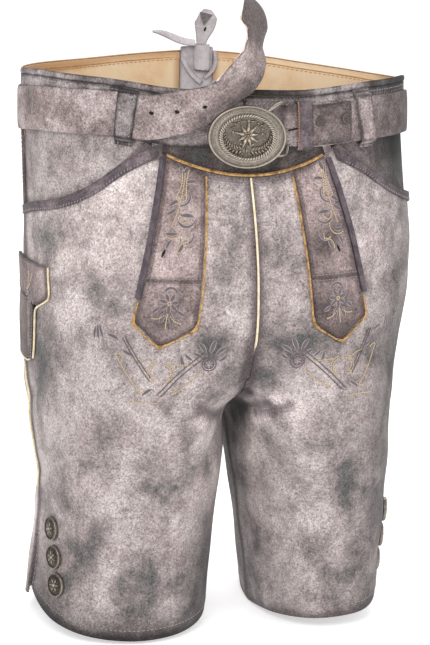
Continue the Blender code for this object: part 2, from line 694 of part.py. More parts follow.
def make_knife_pocket(front, back):
    """The slim pocket over the right side seam, with its cuff and edge piping."""
    seam, tip, foot = (rows_to(FRONT_LINES, name) for name in ("band_seam", "tip", "knife_foot"))
    rows = [seam, seam + 1, tip, tip + 1, foot]
    front_first = column_index(FRONT_COLUMNS, "knife_front")
    back_first = column_index(BACK_COLUMNS, "knife_back")
    back_columns = BACK_COLUMNS[back_first:]
    heights = [front_heights(FRONT_COLUMNS[-1])[row] for row in rows]
    behind = Net.on(RIGHT, "back", back_columns, lambda column: heights).reversed()
    before = Net(front.points[rows][:, front_first:], front.normals[rows][:, front_first:])
    net = before.beside(behind)
    columns = net.points.shape[1] - 1
    body = {(i, j) for i in (2, 3) for j in range(1, columns)}
    head = {(i, j) for i in (0, 1) for j in range(columns)}
    lowered = Net(net.points.copy(), net.normals.copy())
    lowered.points[2] += unit(net.points[3, 1] - net.points[2, 1]) * GAP
    slab("knife_pocket", lowered, BACKING_GAP, BACKING_GAP + 0.0018, "suede_dark", body)
    slab("knife_cuff", net, GAP, GAP + 0.0030, "suede_dark", head)

    off, stand = GAP + THIN_BEAD, GAP + THIN_BEAD
    path = []
    for row in (0, 1):
        point, normal = net.points[row, 0], net.normals[row, 0]
        away = unit(front.points[rows[row], front_first - 1] - point)
        path.append((point + away * off + normal * stand, normal))
    point, normal = net.points[2, 0], net.normals[2, 0]
    away = unit(front.points[rows[2], front_first - 1] - point)
    down = unit(net.points[3, 0] - point)
    path.append((point + (away + down) * off + normal * stand, normal))
    point, normal = net.points[2, 1], net.normals[2, 1]
    across = unit(net.points[2, 0] - point)
    path.append((point + (across + down) * off + normal * stand, normal))
    for row in (3, 4):
        point, normal = net.points[row, 1], net.normals[row, 1]
        away = unit(net.points[row, 0] - point)
        path.append((point + away * off + normal * stand, normal))
    bead("knife_piping", path, 2 * THIN_BEAD, 2 * THIN_BEAD, "piping")


# ---------------------------------------------------------------- belt and its loops
# The height of the belt's middle over the waist's level: at the centre, halfway and at the side.
BeltLine = namedtuple("BeltLine", "side face centre half_way at_side")
BELT_LINES = (
    BeltLine(-1, "front", 0.0080, 0.0068, 0.0010),
    BeltLine(1, "front", 0.0060, 0.0050, 0.0040),
    BeltLine(-1, "back", 0.0000, 0.0010, 0.0010),
    BeltLine(1, "back", 0.0000, 0.0030, 0.0040),
)
LOOP_THICK = 0.0018
LOOP_SHIFTS = {RIGHT: (-0.020, -0.045), LEFT: (0.028, 0.004)}   # of a front loop's edges, as shares


def belt_middle(side, face, share):
    """The height of the belt's middle at one place round the waist."""
    line = next(row for row in BELT_LINES if row.side == side and row.face == face)
    return float(np.interp(share, (0.0, 0.5, 1.0), (line.centre, line.half_way, line.at_side)))


def make_loop(name, side, face, columns, foot_out):
    """A belt loop over one cell of the net: sewn above the belt, and below it."""
    first = column_index(columns, "loop_a")
    pair = columns[first:first + 2]
    shifts = LOOP_SHIFTS[side] if face == "front" else (0.0, 0.0)
    middle = belt_middle(side, face, share_at(pair[0], 0.0) + shifts[0])
    high, low = middle + BELT_HALF, middle - BELT_HALF
    foot = min(low, BAND_LOW_Z + 0.0010) - 0.0036
    over = BELT_STAND + BELT_THICK + 0.0009
    Bend = namedtuple("Bend", "z out")
    inside = (
        Bend(0.0302, GAP),
        Bend(0.0276, GAP),
        Bend(high + 0.0012, over),
        Bend(middle, over + 0.0004),
        Bend(low - 0.0008, over),
        Bend(foot, foot_out),
        Bend(foot - 0.0028, foot_out),
    )
    rows = []
    for bend in inside:
        shares = [share_at(column, bend.z) + shift for column, shift in zip(pair, shifts)]
        rows.append([cloth(side, face, share, bend.z, bend.out) for share in shares])
    net = Net([[p for p, _ in row] for row in rows], [[n for _, n in row] for row in rows])
    slab(name, net, 0.0, LOOP_THICK, "suede")


RETURN_X = 0.0862           # end of the belt's folded layer
RETURN_THICK = 0.0022
BAR_X = 0.0300              # buckle bar
BAR_OUT = 0.0042            # from the waistband to its middle
BELT_END_X = 0.0355
BELT_TOP = BELT_STAND + BELT_THICK + 0.0010     # where what lies on the belt starts
WIRE = 0.0015               # radius of the buckle's wire

Station = namedtuple("Station", "x y z lean_x lean_y lean_z")
TAIL = (
    Station(-0.0681, -0.1213, 0.0172, -0.09, 0.00, 1.00),
    Station(-0.0515, -0.1238, 0.0206, -0.22, -0.08, 0.97),
    Station(-0.0385, -0.1252, 0.0266, -0.39, -0.45, 0.80),
    Station(-0.0278, -0.1262, 0.0333, -0.51, -0.57, 0.65),
    Station(-0.0183, -0.1262, 0.0406, -0.60, -0.53, 0.60),
    Station(-0.0101, -0.1252, 0.0480, -0.66, -0.54, 0.52),
    Station(-0.0040, -0.1238, 0.0565, -0.65, -0.61, 0.45),
    Station(-0.0003, -0.1218, 0.0655, -0.60, -0.70, 0.38),
    Station(0.0012, -0.1195, 0.0760, -0.56, -0.77, 0.30),
    Station(0.0023, -0.1170, 0.0870, -0.59, -0.79, 0.17),
    Station(0.0004, -0.1148, 0.0974, -0.62, -0.77, 0.13),
    Station(-0.0022, -0.1130, 0.1065, -0.55, -0.82, 0.13),
    Station(-0.0050, -0.1115, 0.1165, -0.44, -0.89, 0.10),
)
TAIL_NARROWS = (1.0,) * 11 + (0.94, 0.45)


def belt_ring(centre, lean, outward, width, low, high):
    """A belt section: two inner corners and four outer ones, so that its edges are eased."""
    half, ease = width / 2, 0.0012
    flat = [
        (-half, low), (half, low), (half, high - ease),
        (half - ease, high), (-half + ease, high), (-half, high - ease),
    ]
    return [centre + lean * a + outward * b for a, b in flat]


def belt_body_ring(side, face, share):
    """A belt section that lies round the waist."""
    middle = belt_middle(side, face, share)
    foot, low_normal = cloth(side, face, share, middle - BELT_HALF)
    head, high_normal = cloth(side, face, share, middle + BELT_HALF)
    lean = unit(head - foot)
    outward = unit(low_normal + high_normal)
    width = float(np.linalg.norm(head - foot))
    return belt_ring((foot + head) / 2, lean, outward, width, BELT_STAND, BELT_STAND + BELT_THICK)


def share_for_x(side, x, z):
    """The share at which a front section reaches a given distance from the centre."""
    points, lengths, _ = quarter(side, "front", z)
    reach = side * (points[:, 0] - section(z).shift)
    return float(np.interp(side * (x * side - section(z).shift), reach, lengths)) / lengths[-1]


def make_belt():
    """One strap: from the buckle round the left side, back and right side, to its raised end."""
    middle = belt_middle(LEFT, "front", 0.25)
    first = share_for_x(LEFT, BELT_END_X, middle)
    fronts = [share_at(column, middle) for column in FRONT_COLUMNS]
    backs = [share_at(column, middle) for column in BACK_COLUMNS]
    rings = [belt_body_ring(LEFT, "front", first)]
    rings += [belt_body_ring(LEFT, "front", share) for share in fronts if share > first + 0.02]
    rings += [belt_body_ring(LEFT, "back", share) for share in backs[-2:0:-1]]
    rings += [belt_body_ring(RIGHT, "back", share) for share in backs[:-1]]
    leave = share_for_x(RIGHT, 0.078, middle)
    rings += [belt_body_ring(RIGHT, "front", share) for share in fronts[::-1] if share > leave]
    centres = [np.mean(ring, axis=0) for ring in rings]
    path = [np.array(station[:3]) for station in TAIL]
    for k, station in enumerate(TAIL):
        before = path[k - 1] if k else centres[-1]
        after = path[min(k + 1, len(TAIL) - 1)]
        along = unit(after - before)
        lean = np.array(station[3:])
        lean = unit(lean - along * (lean @ along))
        outward = np.cross(along, lean)
        width = 2 * BELT_HALF * TAIL_NARROWS[k]
        rings.append(belt_ring(path[k], lean, outward, width, -BELT_THICK / 2, BELT_THICK / 2))
    loft("belt", rings, "belt")


def bar_frame(z):
    """The bar's middle at height z, with the directions along the belt and out of it."""
    share = share_for_x(LEFT, BAR_X, z)
    point, normal = cloth(LEFT, "front", share, z, BAR_OUT)
    ahead = cloth(LEFT, "front", share_for_x(LEFT, BAR_X + 0.004, z), z, BAR_OUT)[0]
    return point, unit(ahead - point), normal


def belt_height(x, reach=0.0):
    """The height of a line along the belt's left front, a distance above its middle."""
    return belt_middle(LEFT, "front", share_for_x(LEFT, x, 0.0)) + reach


def make_belt_return():
    """The belt's folded end: round the buckle bar and back over the belt."""
    inner, outer = WIRE + 0.0005, WIRE + 0.0005 + RETURN_THICK
    rings = []
    for reach in (0.0010 - BELT_HALF, BELT_HALF - 0.0010):
        middle, along, out = bar_frame(belt_height(BAR_X, reach))
        outside, inside = [], []
        for x in (RETURN_X, 0.0720, 0.0610, 0.0490, BELT_END_X + 0.0015):
            z = belt_height(x, reach)
            share = share_for_x(LEFT, x, z)
            inside.append(cloth(LEFT, "front", share, z, BELT_TOP)[0])
            outside.append(cloth(LEFT, "front", share, z, BELT_TOP + RETURN_THICK)[0])
        for k in range(7):
            angle = math.radians(90 + 30 * k)
            turn = along * math.cos(angle) + out * math.sin(angle)
            inside.append(middle + turn * inner)
            outside.append(middle + turn * outer)
        rings.append(outside + inside[::-1])
    profile_loft("belt_return", rings, "belt", len(rings[0]) // 2)


def profile_loft(name, rings, finish_name, half):
    """A solid between two rings whose outline folds back on itself, capped strip by strip."""
    size = len(rings[0])
    vertices = [point for ring in rings for point in ring]
    faces = []
    for i in range(size):
        a, b = i, (i + 1) % size
        faces += [(a, b, b + size), (a, b + size, a + size)]
    for k in range(half - 1):
        a, b, c, d = k, k + 1, size - 2 - k, size - 1 - k
        faces += [(a, c, b), (a, d, c)]
        faces += [(size + a, size + b, size + c), (size + a, size + c, size + d)]
    return finish(name, vertices, faces, finish_name)


KEEPER_X = (0.0372, 0.0505)
KEEPER_THICK = 0.0018


def make_keeper():
    """The dark keeper over the belt and its folded end."""
    top = BELT_TOP + RETURN_THICK + 0.0006
    high, low = BELT_HALF + 0.0006, -BELT_HALF - 0.0006
    inside = (
        (high, BELT_STAND),
        (high, top - 0.0008),
        (high - 0.0018, top + 0.0002),
        (low + 0.0018, top + 0.0002),
        (low, top - 0.0008),
        (low, BELT_STAND),
    )
    outside = (
        (high + KEEPER_THICK, BELT_STAND),
        (high + KEEPER_THICK, top),
        (high - 0.0006, top + KEEPER_THICK + 0.0002),
        (low + 0.0006, top + KEEPER_THICK + 0.0002),
        (low - KEEPER_THICK, top),
        (low - KEEPER_THICK, BELT_STAND),
    )
    rings = []
    for x in KEEPER_X:
        ring = []
        for reach, out in outside + inside[::-1]:
            z = belt_height(x, reach)
            point, normal = cloth(LEFT, "front", share_for_x(LEFT, x, z), z)
            ring.append(point + normal * out)
        rings.append(ring)
    profile_loft("belt_keeper", rings, "binding", len(outside))


def turned(name, point, normal, profile, sides, finish_name, up=(0.0, 0.0, 1.0), ratio=1.0, tilt=0.0):
    """A solid turned round an outward direction: rows of (share of radius, height), axis to axis."""
    across = unit(np.cross(up, normal))
    upward = np.cross(normal, across)
    vertices = [point + normal * profile[0][1]]
    for radius, height in profile[1:-1]:
        for k in range(sides):
            angle = math.tau * k / sides
            a, b = radius * math.cos(angle), radius * ratio * math.sin(angle)
            a, b = a * math.cos(tilt) - b * math.sin(tilt), a * math.sin(tilt) + b * math.cos(tilt)
            vertices.append(point + across * a + upward * b + normal * height)
    vertices.append(point + normal * profile[-1][1])
    faces = [(0, 1 + (k + 1) % sides, 1 + k) for k in range(sides)]
    for ring in range(len(profile) - 3):
        for k in range(sides):
            a, b = 1 + ring * sides + k, 1 + ring * sides + (k + 1) % sides
            faces += [(a, b, b + sides), (a, b + sides, a + sides)]
    last, top = 1 + (len(profile) - 3) * sides, len(vertices) - 1
    faces += [(last + k, last + (k + 1) % sides, top) for k in range(sides)]
    return finish(name, vertices, faces, finish_name)


SNAP_RADIUS = 0.0044


def make_snaps():
    """Two domed snaps that hold the belt's fold."""
    top = BELT_TOP + RETURN_THICK + GAP + 0.0005
    profile = ((0, 0.0), (SNAP_RADIUS, 0.0), (SNAP_RADIUS, 0.0006), (SNAP_RADIUS * 0.8, 0.0013), (0, 0.0015))
    for number, x in ((1, 0.0580), (2, 0.0808)):
        z = belt_height(x, 0.0030)
        point, normal = cloth(LEFT, "front", share_for_x(LEFT, x, z), z, top)
        turned(f"belt_snap_{number}", point, normal, profile, 14, "pewter")


# ---------------------------------------------------------------- buckle
BUCKLE_CENTRE = np.array([-0.0089, -0.1355, -0.0006])
BUCKLE_HALF = 0.0335
BUCKLE_RATIO = 0.79
BUCKLE_TILT = math.radians(-4)
BUCKLE_FACE = unit((-0.03, -1.0, 0.02))
ROPE_HALF = 0.0225


def oval_frame():
    """Directions across and up the buckle's face, turned by its tilt."""
    across = unit(np.cross((0.0, 0.0, 1.0), BUCKLE_FACE))
    upward = np.cross(BUCKLE_FACE, across)
    turn_across = across * math.cos(BUCKLE_TILT) + upward * math.sin(BUCKLE_TILT)
    turn_up = upward * math.cos(BUCKLE_TILT) - across * math.sin(BUCKLE_TILT)
    return turn_across, turn_up


def make_buckle():
    """The oval plate with its rim, rope ring, flower and leaves, and the wire frame behind it."""
    size = BUCKLE_HALF
    plate = (
        (0, -0.0030), (size * 0.90, -0.0026), (size * 0.99, -0.0014), (size, -0.0002), (size * 0.975, 0.0010),
        (size * 0.93, 0.0006), (size * 0.82, 0.0012), (size * 0.73, 0.0014), (size * 0.55, 0.0004),
        (0, 0.0008),
    )
    oval = {"ratio": BUCKLE_RATIO, "tilt": BUCKLE_TILT}
    turned("buckle_plate", BUCKLE_CENTRE, BUCKLE_FACE, plate, 44, "pewter", **oval)
    across, upward = oval_frame()
    lobes, sides = 40, 5
    rings = []
    for k in range(2 * lobes):
        angle = math.tau * k / (2 * lobes)
        swell = 0.00145 if k % 2 else 0.00105
        out = unit(across * math.cos(angle) + upward * math.sin(angle) / BUCKLE_RATIO)
        spine = BUCKLE_CENTRE + across * ROPE_HALF * math.cos(angle)
        spine = spine + upward * ROPE_HALF * 0.80 * math.sin(angle) + BUCKLE_FACE * 0.0031
        turns = [angle * 3 + math.tau * i / sides for i in range(sides)]
        rings.append([spine + swell * (out * math.cos(t) + BUCKLE_FACE * math.sin(t)) for t in turns])
    closed_loft("buckle_rope", rings, "pewter", 3)
    relief("buckle_flower", (0.0, 0.0010), 0.0088, 8, 0.38, 0.0022, 0.0)
    relief("buckle_leaf_r", (-0.0128, -0.0010), 0.0058, 3, 0.45, 0.0014, math.pi)
    relief("buckle_leaf_l", (0.0128, -0.0010), 0.0058, 3, 0.45, 0.0014, 0.0)


def closed_loft(name, rings, finish_name, shift):
    """A closed ring through sections; the last meets the first after a turn of some corners."""
    size, count = len(rings[0]), len(rings)
    vertices = [point for ring in rings for point in ring]
    faces = []
    for k in range(count):
        move = -shift if k == count - 1 else 0
        after = (k + 1) % count
        for i in range(size):
            a, b = k * size + i, k * size + (i + 1) % size
            c, d = after * size + (i + 1 - move) % size, after * size + (i - move) % size
            faces += [(a, b, c), (a, c, d)]
    return finish(name, vertices, faces, finish_name)


def relief(name, place, reach, petals, waist, high, turn):
    """A low lobed relief on the buckle's face, with a raised middle."""
    across, upward = oval_frame()
    centre = BUCKLE_CENTRE + across * place[0] + upward * place[1]
    base = 0.0012 + GAP
    steps = petals * 4
    vertices = [centre + BUCKLE_FACE * base]
    shares = ((1.0, 0.0), (0.96, 0.45), (0.60, 1.0), (0.30, 0.72))
    for share, rise in shares:
        for k in range(steps):
            angle = turn + math.tau * k / steps
            lobe = waist + (1 - waist) * abs(math.cos(petals * (angle - turn) / 2)) ** 0.8
            size = reach * share * lobe
            height = base + high * rise * (0.35 + 0.65 * lobe)
            place = across * size * math.cos(angle) + upward * size * math.sin(angle)
            vertices.append(centre + place + BUCKLE_FACE * height)
    vertices.append(centre + BUCKLE_FACE * (base + high))
    faces = [(0, 1 + (k + 1) % steps, 1 + k) for k in range(steps)]
    for ring in range(len(shares) - 1):
        for k in range(steps):
            a, b = 1 + ring * steps + k, 1 + ring * steps + (k + 1) % steps
            faces += [(a, b, b + steps), (a, b + steps, a + steps)]
    last, top = 1 + (len(shares) - 1) * steps, len(vertices) - 1
    faces += [(last + k, last + (k + 1) % steps, top) for k in range(steps)]
    return finish(name, vertices, faces, "pewter")


def make_buckle_frame():
    """The wire frame: two arms from the plate's back, and the bar that the belt folds round."""
    back = BUCKLE_CENTRE - BUCKLE_FACE * (0.0030 + GAP + WIRE)
    path = []
    for turn, beyond in ((1, 0.0017), (-1, 0.0060)):
        z = belt_height(BAR_X, turn * (BELT_HALF + beyond))
        bar, corner = bar_frame(z - turn * 0.0028)[0], bar_frame(z)[0]
        arm = [
            (back[0] + 0.0150, back[1], z - turn * 0.0095),
            (back[0] + 0.0210, back[1], z - turn * 0.0035),
            (back[0] + 0.0275, back[1] + 0.0012, z),
            (corner[0] - 0.0035, corner[1] - 0.0035, z),
            tuple(bar),
        ]
        path += arm if turn > 0 else arm[::-1]
    outward = np.array((0.0, -1.0, 0.0))
    bead("buckle_frame", [(np.array(point), outward) for point in path], 2 * WIRE, 2 * WIRE, "pewter", 7)


# ---------------------------------------------------------------- hem buttons and back lacing
BUTTON_RADIUS = 0.0106
Button = namedtuple("Button", "z inset")      # before the hem's rise, and from the slit's edge
BUTTONS = {
    RIGHT: (Button(-0.3600, 0.0390), Button(-0.3882, 0.0455), Button(-0.4135, 0.0530)),
    LEFT: (Button(-0.3625, 0.0340), Button(-0.3952, 0.0300), Button(-0.4270, 0.0220)),
}


def make_buttons(tag, side):
    """Three domed metal buttons beside a slit."""
    size = BUTTON_RADIUS
    profile = (
        (0, 0.0), (size * 0.42, 0.0), (size * 0.42, 0.0024), (size * 0.86, 0.0024), (size, 0.0036),
        (size * 0.95, 0.0048), (size * 0.80, 0.0044), (size * 0.45, 0.0058), (0, 0.0064),
    )
    for number, (z, inset) in enumerate(BUTTONS[side], 1):
        share = 1 - inset / quarter(side, "front", z)[1][-1]
        point, normal = cloth(side, "front", share, z, GAP + 0.0002)
        turned(f"hem_button_{tag}{number}", point, normal, profile, 16, "pewter")


LACE_WIDE = 0.0045
LACE_THICK = 0.0014
FACE_IN = -LEATHER - GAP - GUSSET - GAP


def thong(name, marks, width, thick):
    """A flat leather lace through marks of (across, z, out) near the centre back."""
    path = []
    for across, z, out in marks:
        point, normal = centre_back(z, across, 0.0)
        path.append((point + normal * (FACE_IN + out), normal))
    points = np.array([point for point, _ in path])
    rings = []
    for k, (point, normal) in enumerate(path):
        along = unit(points[min(k + 1, len(path) - 1)] - points[max(k - 1, 0)])
        beside = unit(np.cross(along, normal))
        up = np.cross(beside, along)
        corners = ((-1, -1), (1, -1), (1, 1), (-1, 1))
        rings.append([point + beside * width / 2 * a + up * thick / 2 * b for a, b in corners])
    return loft(name, rings, "lace")


CROSSES = (
    ("lace_cross_1", 1.0, ((-0.0130, 0.0290), (-0.0095, 0.0215), (-0.0035, 0.0125), (0.0045, 0.0060))),
    ("lace_cross_2", 0.8, ((0.0070, 0.0104), (0.0150, 0.0176), (0.0174, 0.0262), (0.0158, 0.0350))),
    ("lace_cross_3", 0.8, ((0.0100, 0.0000), (0.0135, 0.0040), (0.0172, 0.0100))),
)
COLUMN_HALF = 0.0072
COLUMN_DEEP = 0.0062


def make_lacing():
    """The rolled tongue inside the split, the crossed laces at its foot and their ends."""
    rings = []
    for z, swell in ((0.0178, 1.0), (0.0260, 1.04), (0.0360, 1.0), (0.0410, 0.9)):
        ring = []
        for k in range(9):
            angle = math.pi * k / 8
            point, normal = centre_back(z, 0.0045 + COLUMN_HALF * swell * math.cos(angle), 0.0)
            ring.append(point + normal * (FACE_IN - COLUMN_DEEP * math.sin(angle)))
        rings.append(ring)
    loft("lace_tongue", rings, "lace")
    for name, narrow, marks in CROSSES:
        places = [(across, z, -LACE_THICK / 2 - GAP) for across, z in marks]
        thong(name, places, LACE_WIDE * narrow, LACE_THICK)


Flare = namedtuple("Flare", "x y z width")
LACE_END = (
    Flare(-0.0018, 0.0845, 0.0448, 0.0062),
    Flare(-0.0110, 0.0832, 0.0462, 0.0066),
    Flare(-0.0200, 0.0808, 0.0496, 0.0066),
    Flare(-0.0285, 0.0778, 0.0535, 0.0058),
    Flare(-0.0360, 0.0748, 0.0562, 0.0042),
    Flare(-0.0420, 0.0728, 0.0574, 0.0016),
)
LACE_TAB = (
    Flare(0.0042, 0.0849, 0.0438, 0.0085),
    Flare(0.0048, 0.0843, 0.0490, 0.0105),
    Flare(0.0060, 0.0836, 0.0545, 0.0150),
    Flare(0.0070, 0.0826, 0.0605, 0.0192),
    Flare(0.0074, 0.0818, 0.0655, 0.0200),
    Flare(0.0058, 0.0812, 0.0700, 0.0150),
    Flare(0.0030, 0.0808, 0.0730, 0.0070),
)


def strap(name, rows, facing, thick):
    """A flat tapering strap through rows of centre and width."""
    points = np.array([row[:3] for row in rows])
    rings = []
    for k, row in enumerate(rows):
        along = unit(points[min(k + 1, len(rows) - 1)] - points[max(k - 1, 0)])
        beside = unit(np.cross(along, facing))
        up = np.cross(beside, along)
        corners = ((-1, -1), (1, -1), (1, 1), (-1, 1))
        rings.append([points[k] + beside * row.width / 2 * a + up * thick / 2 * b for a, b in corners])
    return loft(name, rings, "lace")


def make_lace_ends():
    """The lace's free end, lying out to the right, and its standing split tab."""
    strap("lace_end", LACE_END, np.array((-0.1, -0.75, 0.66)), 0.0016)
    strap("lace_tab", LACE_TAB, np.array((0.0, -1.0, 0.0)), 0.0018)


# ---------------------------------------------------------------- the whole
def main():
    for thing in list(bpy.data.objects):
        bpy.data.objects.remove(thing, do_unlink=True)
    fronts = {side: front_net(side) for side in SIDES.values()}
    backs = {side: back_net(side) for side in SIDES.values()}
    for tag, side in SIDES.items():
        make_panels(tag, side, fronts[side], backs[side])
        make_hip_facing(tag, side)
        make_waistband(tag, side)
        make_lining(tag, side)
        make_band(tag, side, fronts[side])
        make_pocket_binding(tag, side)
        make_loop(f"belt_loop_front_{tag}", side, "front", FRONT_COLUMNS, -LEATHER)
        make_loop(f"belt_loop_back_{tag}", side, "back", BACK_COLUMNS, GAP)
        make_buttons(tag, side)
    make_underflap()
    make_flap_piping(fronts)
    make_centre_piping(fronts)
    make_side_piping("r", RIGHT, FRONT_LINES[2].side - 0.003)
    make_side_piping("l", LEFT, BACK_LINES[0].side - 0.008)
    make_knife_pocket(fronts[RIGHT], backs[RIGHT])
    make_gusset()
    make_belt()
    make_belt_return()
    make_keeper()
    make_snaps()
    make_buckle()
    make_buckle_frame()
    make_lacing()
    make_lace_ends()


main()
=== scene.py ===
"""Looks for short leather trousers in their worn, hollow form, with their belt.

Every piece stands in the part's own frame, in metres: +X is the wearer's left, the front faces -Y
and +Z is up. Leather pieces are smoothed copies of the part's own solids, creased by one shared
field so that what lies on a panel stays on it, and trim is laid on their surfaces.
"""

import json
import logging
import math
import random
from contextlib import contextmanager
from dataclasses import dataclass, field, replace
from enum import Enum
from functools import cache
from typing import Callable, Iterable, Iterator, Optional, Sequence, Union

import bmesh
import bpy
import numpy as np
from mathutils import Matrix, Vector
from mathutils.bvhtree import BVHTree
from mathutils.kdtree import KDTree

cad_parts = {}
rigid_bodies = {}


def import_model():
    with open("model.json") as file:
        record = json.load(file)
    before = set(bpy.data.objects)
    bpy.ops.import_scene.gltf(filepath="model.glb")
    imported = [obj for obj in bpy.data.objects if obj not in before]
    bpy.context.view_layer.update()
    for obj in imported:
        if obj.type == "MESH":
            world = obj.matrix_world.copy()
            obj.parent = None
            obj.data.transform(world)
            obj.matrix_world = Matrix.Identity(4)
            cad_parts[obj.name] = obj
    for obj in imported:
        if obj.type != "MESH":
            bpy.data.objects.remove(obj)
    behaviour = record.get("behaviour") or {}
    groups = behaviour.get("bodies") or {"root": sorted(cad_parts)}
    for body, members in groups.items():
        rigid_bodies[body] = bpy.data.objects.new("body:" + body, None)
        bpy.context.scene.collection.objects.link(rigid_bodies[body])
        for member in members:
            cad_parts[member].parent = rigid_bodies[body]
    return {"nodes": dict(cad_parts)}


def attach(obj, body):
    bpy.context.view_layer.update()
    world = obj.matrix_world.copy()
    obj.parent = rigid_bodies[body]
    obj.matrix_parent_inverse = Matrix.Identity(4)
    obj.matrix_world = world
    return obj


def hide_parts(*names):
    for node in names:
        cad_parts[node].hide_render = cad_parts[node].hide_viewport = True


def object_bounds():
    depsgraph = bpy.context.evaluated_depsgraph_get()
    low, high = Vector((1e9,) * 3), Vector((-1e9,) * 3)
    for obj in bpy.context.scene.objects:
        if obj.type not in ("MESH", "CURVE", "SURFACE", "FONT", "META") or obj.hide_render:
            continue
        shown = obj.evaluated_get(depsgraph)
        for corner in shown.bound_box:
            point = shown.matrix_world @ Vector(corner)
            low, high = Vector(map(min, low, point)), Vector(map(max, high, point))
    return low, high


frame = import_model()
START_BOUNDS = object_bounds()

LOG = logging.getLogger("trousers")
MM = 0.001
UP = Vector((0, 0, 1))
Socket = bpy.types.NodeSocket
Value = Union[float, tuple, Socket]
Path = list[tuple[Vector, Vector]]
Template = tuple[np.ndarray, list]


# ---------------------------------------------------------------- small tools
def srgb(code: str) -> tuple[float, float, float, float]:
    """Linear colour of six hex digits, with an alpha of one."""
    parts = [int(code[k : k + 2], 16) / 255 for k in (0, 2, 4)]
    linear = [c / 12.92 if c <= 0.04045 else ((c + 0.055) / 1.055) ** 2.4 for c in parts]
    return linear[0], linear[1], linear[2], 1.0


def rise(values: np.ndarray, start: float, end: float) -> np.ndarray:
    """How far values have come from a start to an end, from 0 to 1."""
    return np.clip((values - start) / (end - start), 0, 1)


def smooth(way: np.ndarray) -> np.ndarray:
    """A way from 0 to 1 eased at both ends."""
    return way * way * (3 - 2 * way)


def bell(values: np.ndarray, centre: float, width: float) -> np.ndarray:
    """A soft bump of height one round a centre."""
    return np.exp(-(((values - centre) / width) ** 2))


def clouds(points: np.ndarray, marks: Iterable[tuple[np.ndarray, float, float]]) -> np.ndarray:
    """The sum of round soft marks, each given by its place, reach and strength."""
    total = np.zeros(len(points))
    for centre, reach, strength in marks:
        total += strength * bell(np.linalg.norm(points - centre, axis=1), 0, reach)
    return total


def polar(degrees: float, reach: float = 1.0) -> tuple[float, float]:
    """The place at a direction and a distance from the origin."""
    angle = math.radians(degrees)
    return reach * math.cos(angle), reach * math.sin(angle)


def coords(mesh: bpy.types.Mesh) -> np.ndarray:
    """All vertex positions of a mesh, one row each."""
    flat = np.empty(len(mesh.vertices) * 3)
    mesh.vertices.foreach_get("co", flat)
    return flat.reshape(-1, 3)


def set_coords(mesh: bpy.types.Mesh, points: np.ndarray) -> None:
    """Write all vertex positions of a mesh."""
    mesh.vertices.foreach_set("co", np.asarray(points, float).ravel())
    mesh.update()


def swell(mesh: bpy.types.Mesh, amount: float) -> None:
    """Move every vertex of a mesh outward by an amount."""
    flat = np.empty(len(mesh.vertices) * 3)
    mesh.vertex_normals.foreach_get("vector", flat)
    set_coords(mesh, coords(mesh) + amount * flat.reshape(-1, 3))


def paint(mesh: bpy.types.Mesh, name: str, values: np.ndarray) -> None:
    """Write a value for each vertex under a name that the finishes read."""
    layer = mesh.attributes.get(name) or mesh.attributes.new(name, "FLOAT", "POINT")
    layer.data.foreach_set("value", np.asarray(values, np.float32))


def wear(piece: bpy.types.Object, values: np.ndarray) -> None:
    """Write how brightly each vertex of a metal piece is rubbed, from 0 to 1."""
    paint(piece.data, "wear_and_shade", np.clip(values, 0, 1))


def select_only(target: bpy.types.Object) -> None:
    """Make one object the only selected and active one."""
    for other in bpy.context.selected_objects:
        other.select_set(False)
    target.select_set(True)
    bpy.context.view_layer.objects.active = target


def smooth_faces(piece: bpy.types.Object, degrees: float) -> None:
    """Shade a piece smoothly across edges up to an angle."""
    select_only(piece)
    bpy.ops.object.shade_smooth_by_angle(angle=math.radians(degrees))


def apply_modifiers(target: bpy.types.Object) -> None:
    """Apply every modifier of an object in order."""
    select_only(target)
    for modifier in list(target.modifiers):
        bpy.ops.object.modifier_apply(modifier=modifier.name)


@contextmanager
def editing(piece: bpy.types.Object, keep: Optional[Callable] = None, kind: str = "FACE") -> Iterator[None]:
    """Edit a piece's mesh with all of it selected, or only some of its faces or edges.

    Args:
        piece: The object.
        keep: Chooses the faces or edges.
        kind: FACE or EDGE.

    Yields:
        Nothing; edit mode ends with the block.
    """
    select_only(piece)
    bpy.ops.object.mode_set(mode="EDIT")
    bpy.ops.mesh.select_all(action="DESELECT" if keep else "SELECT")
    if keep:
        bpy.ops.object.mode_set(mode="OBJECT")
        for element in piece.data.polygons if kind == "FACE" else piece.data.edges:
            element.select = keep(element)
        bpy.ops.object.mode_set(mode="EDIT")
        bpy.ops.mesh.select_mode(type=kind)
    yield
    bpy.ops.object.mode_set(mode="OBJECT")


def bevelled(piece: bpy.types.Object, width: float, angle: float, soft: float) -> None:
    """Ease a metal piece's edges.

    Args:
        piece: The object.
        width: Width of the bevel in metres.
        angle: Degrees from which an edge is eased.
        soft: Degrees up to which faces are shaded smoothly.
    """
    bevel = piece.modifiers.new("ease", "BEVEL")
    bevel.width = width
    bevel.segments = 2
    bevel.limit_method = "ANGLE"
    bevel.angle_limit = math.radians(angle)
    apply_modifiers(piece)
    smooth_faces(piece, soft)


def new_mesh(name: str, points: Sequence, faces: Sequence) -> bpy.types.Object:
    """A linked object with a mesh of the given points in metres and faces of corner numbers."""
    mesh = bpy.data.meshes.new(name)
    mesh.from_pydata([tuple(map(float, point)) for point in points], [], [tuple(f) for f in faces])
    mesh.validate()
    made = bpy.data.objects.new(name, mesh)
    bpy.context.scene.collection.objects.link(made)
    return made


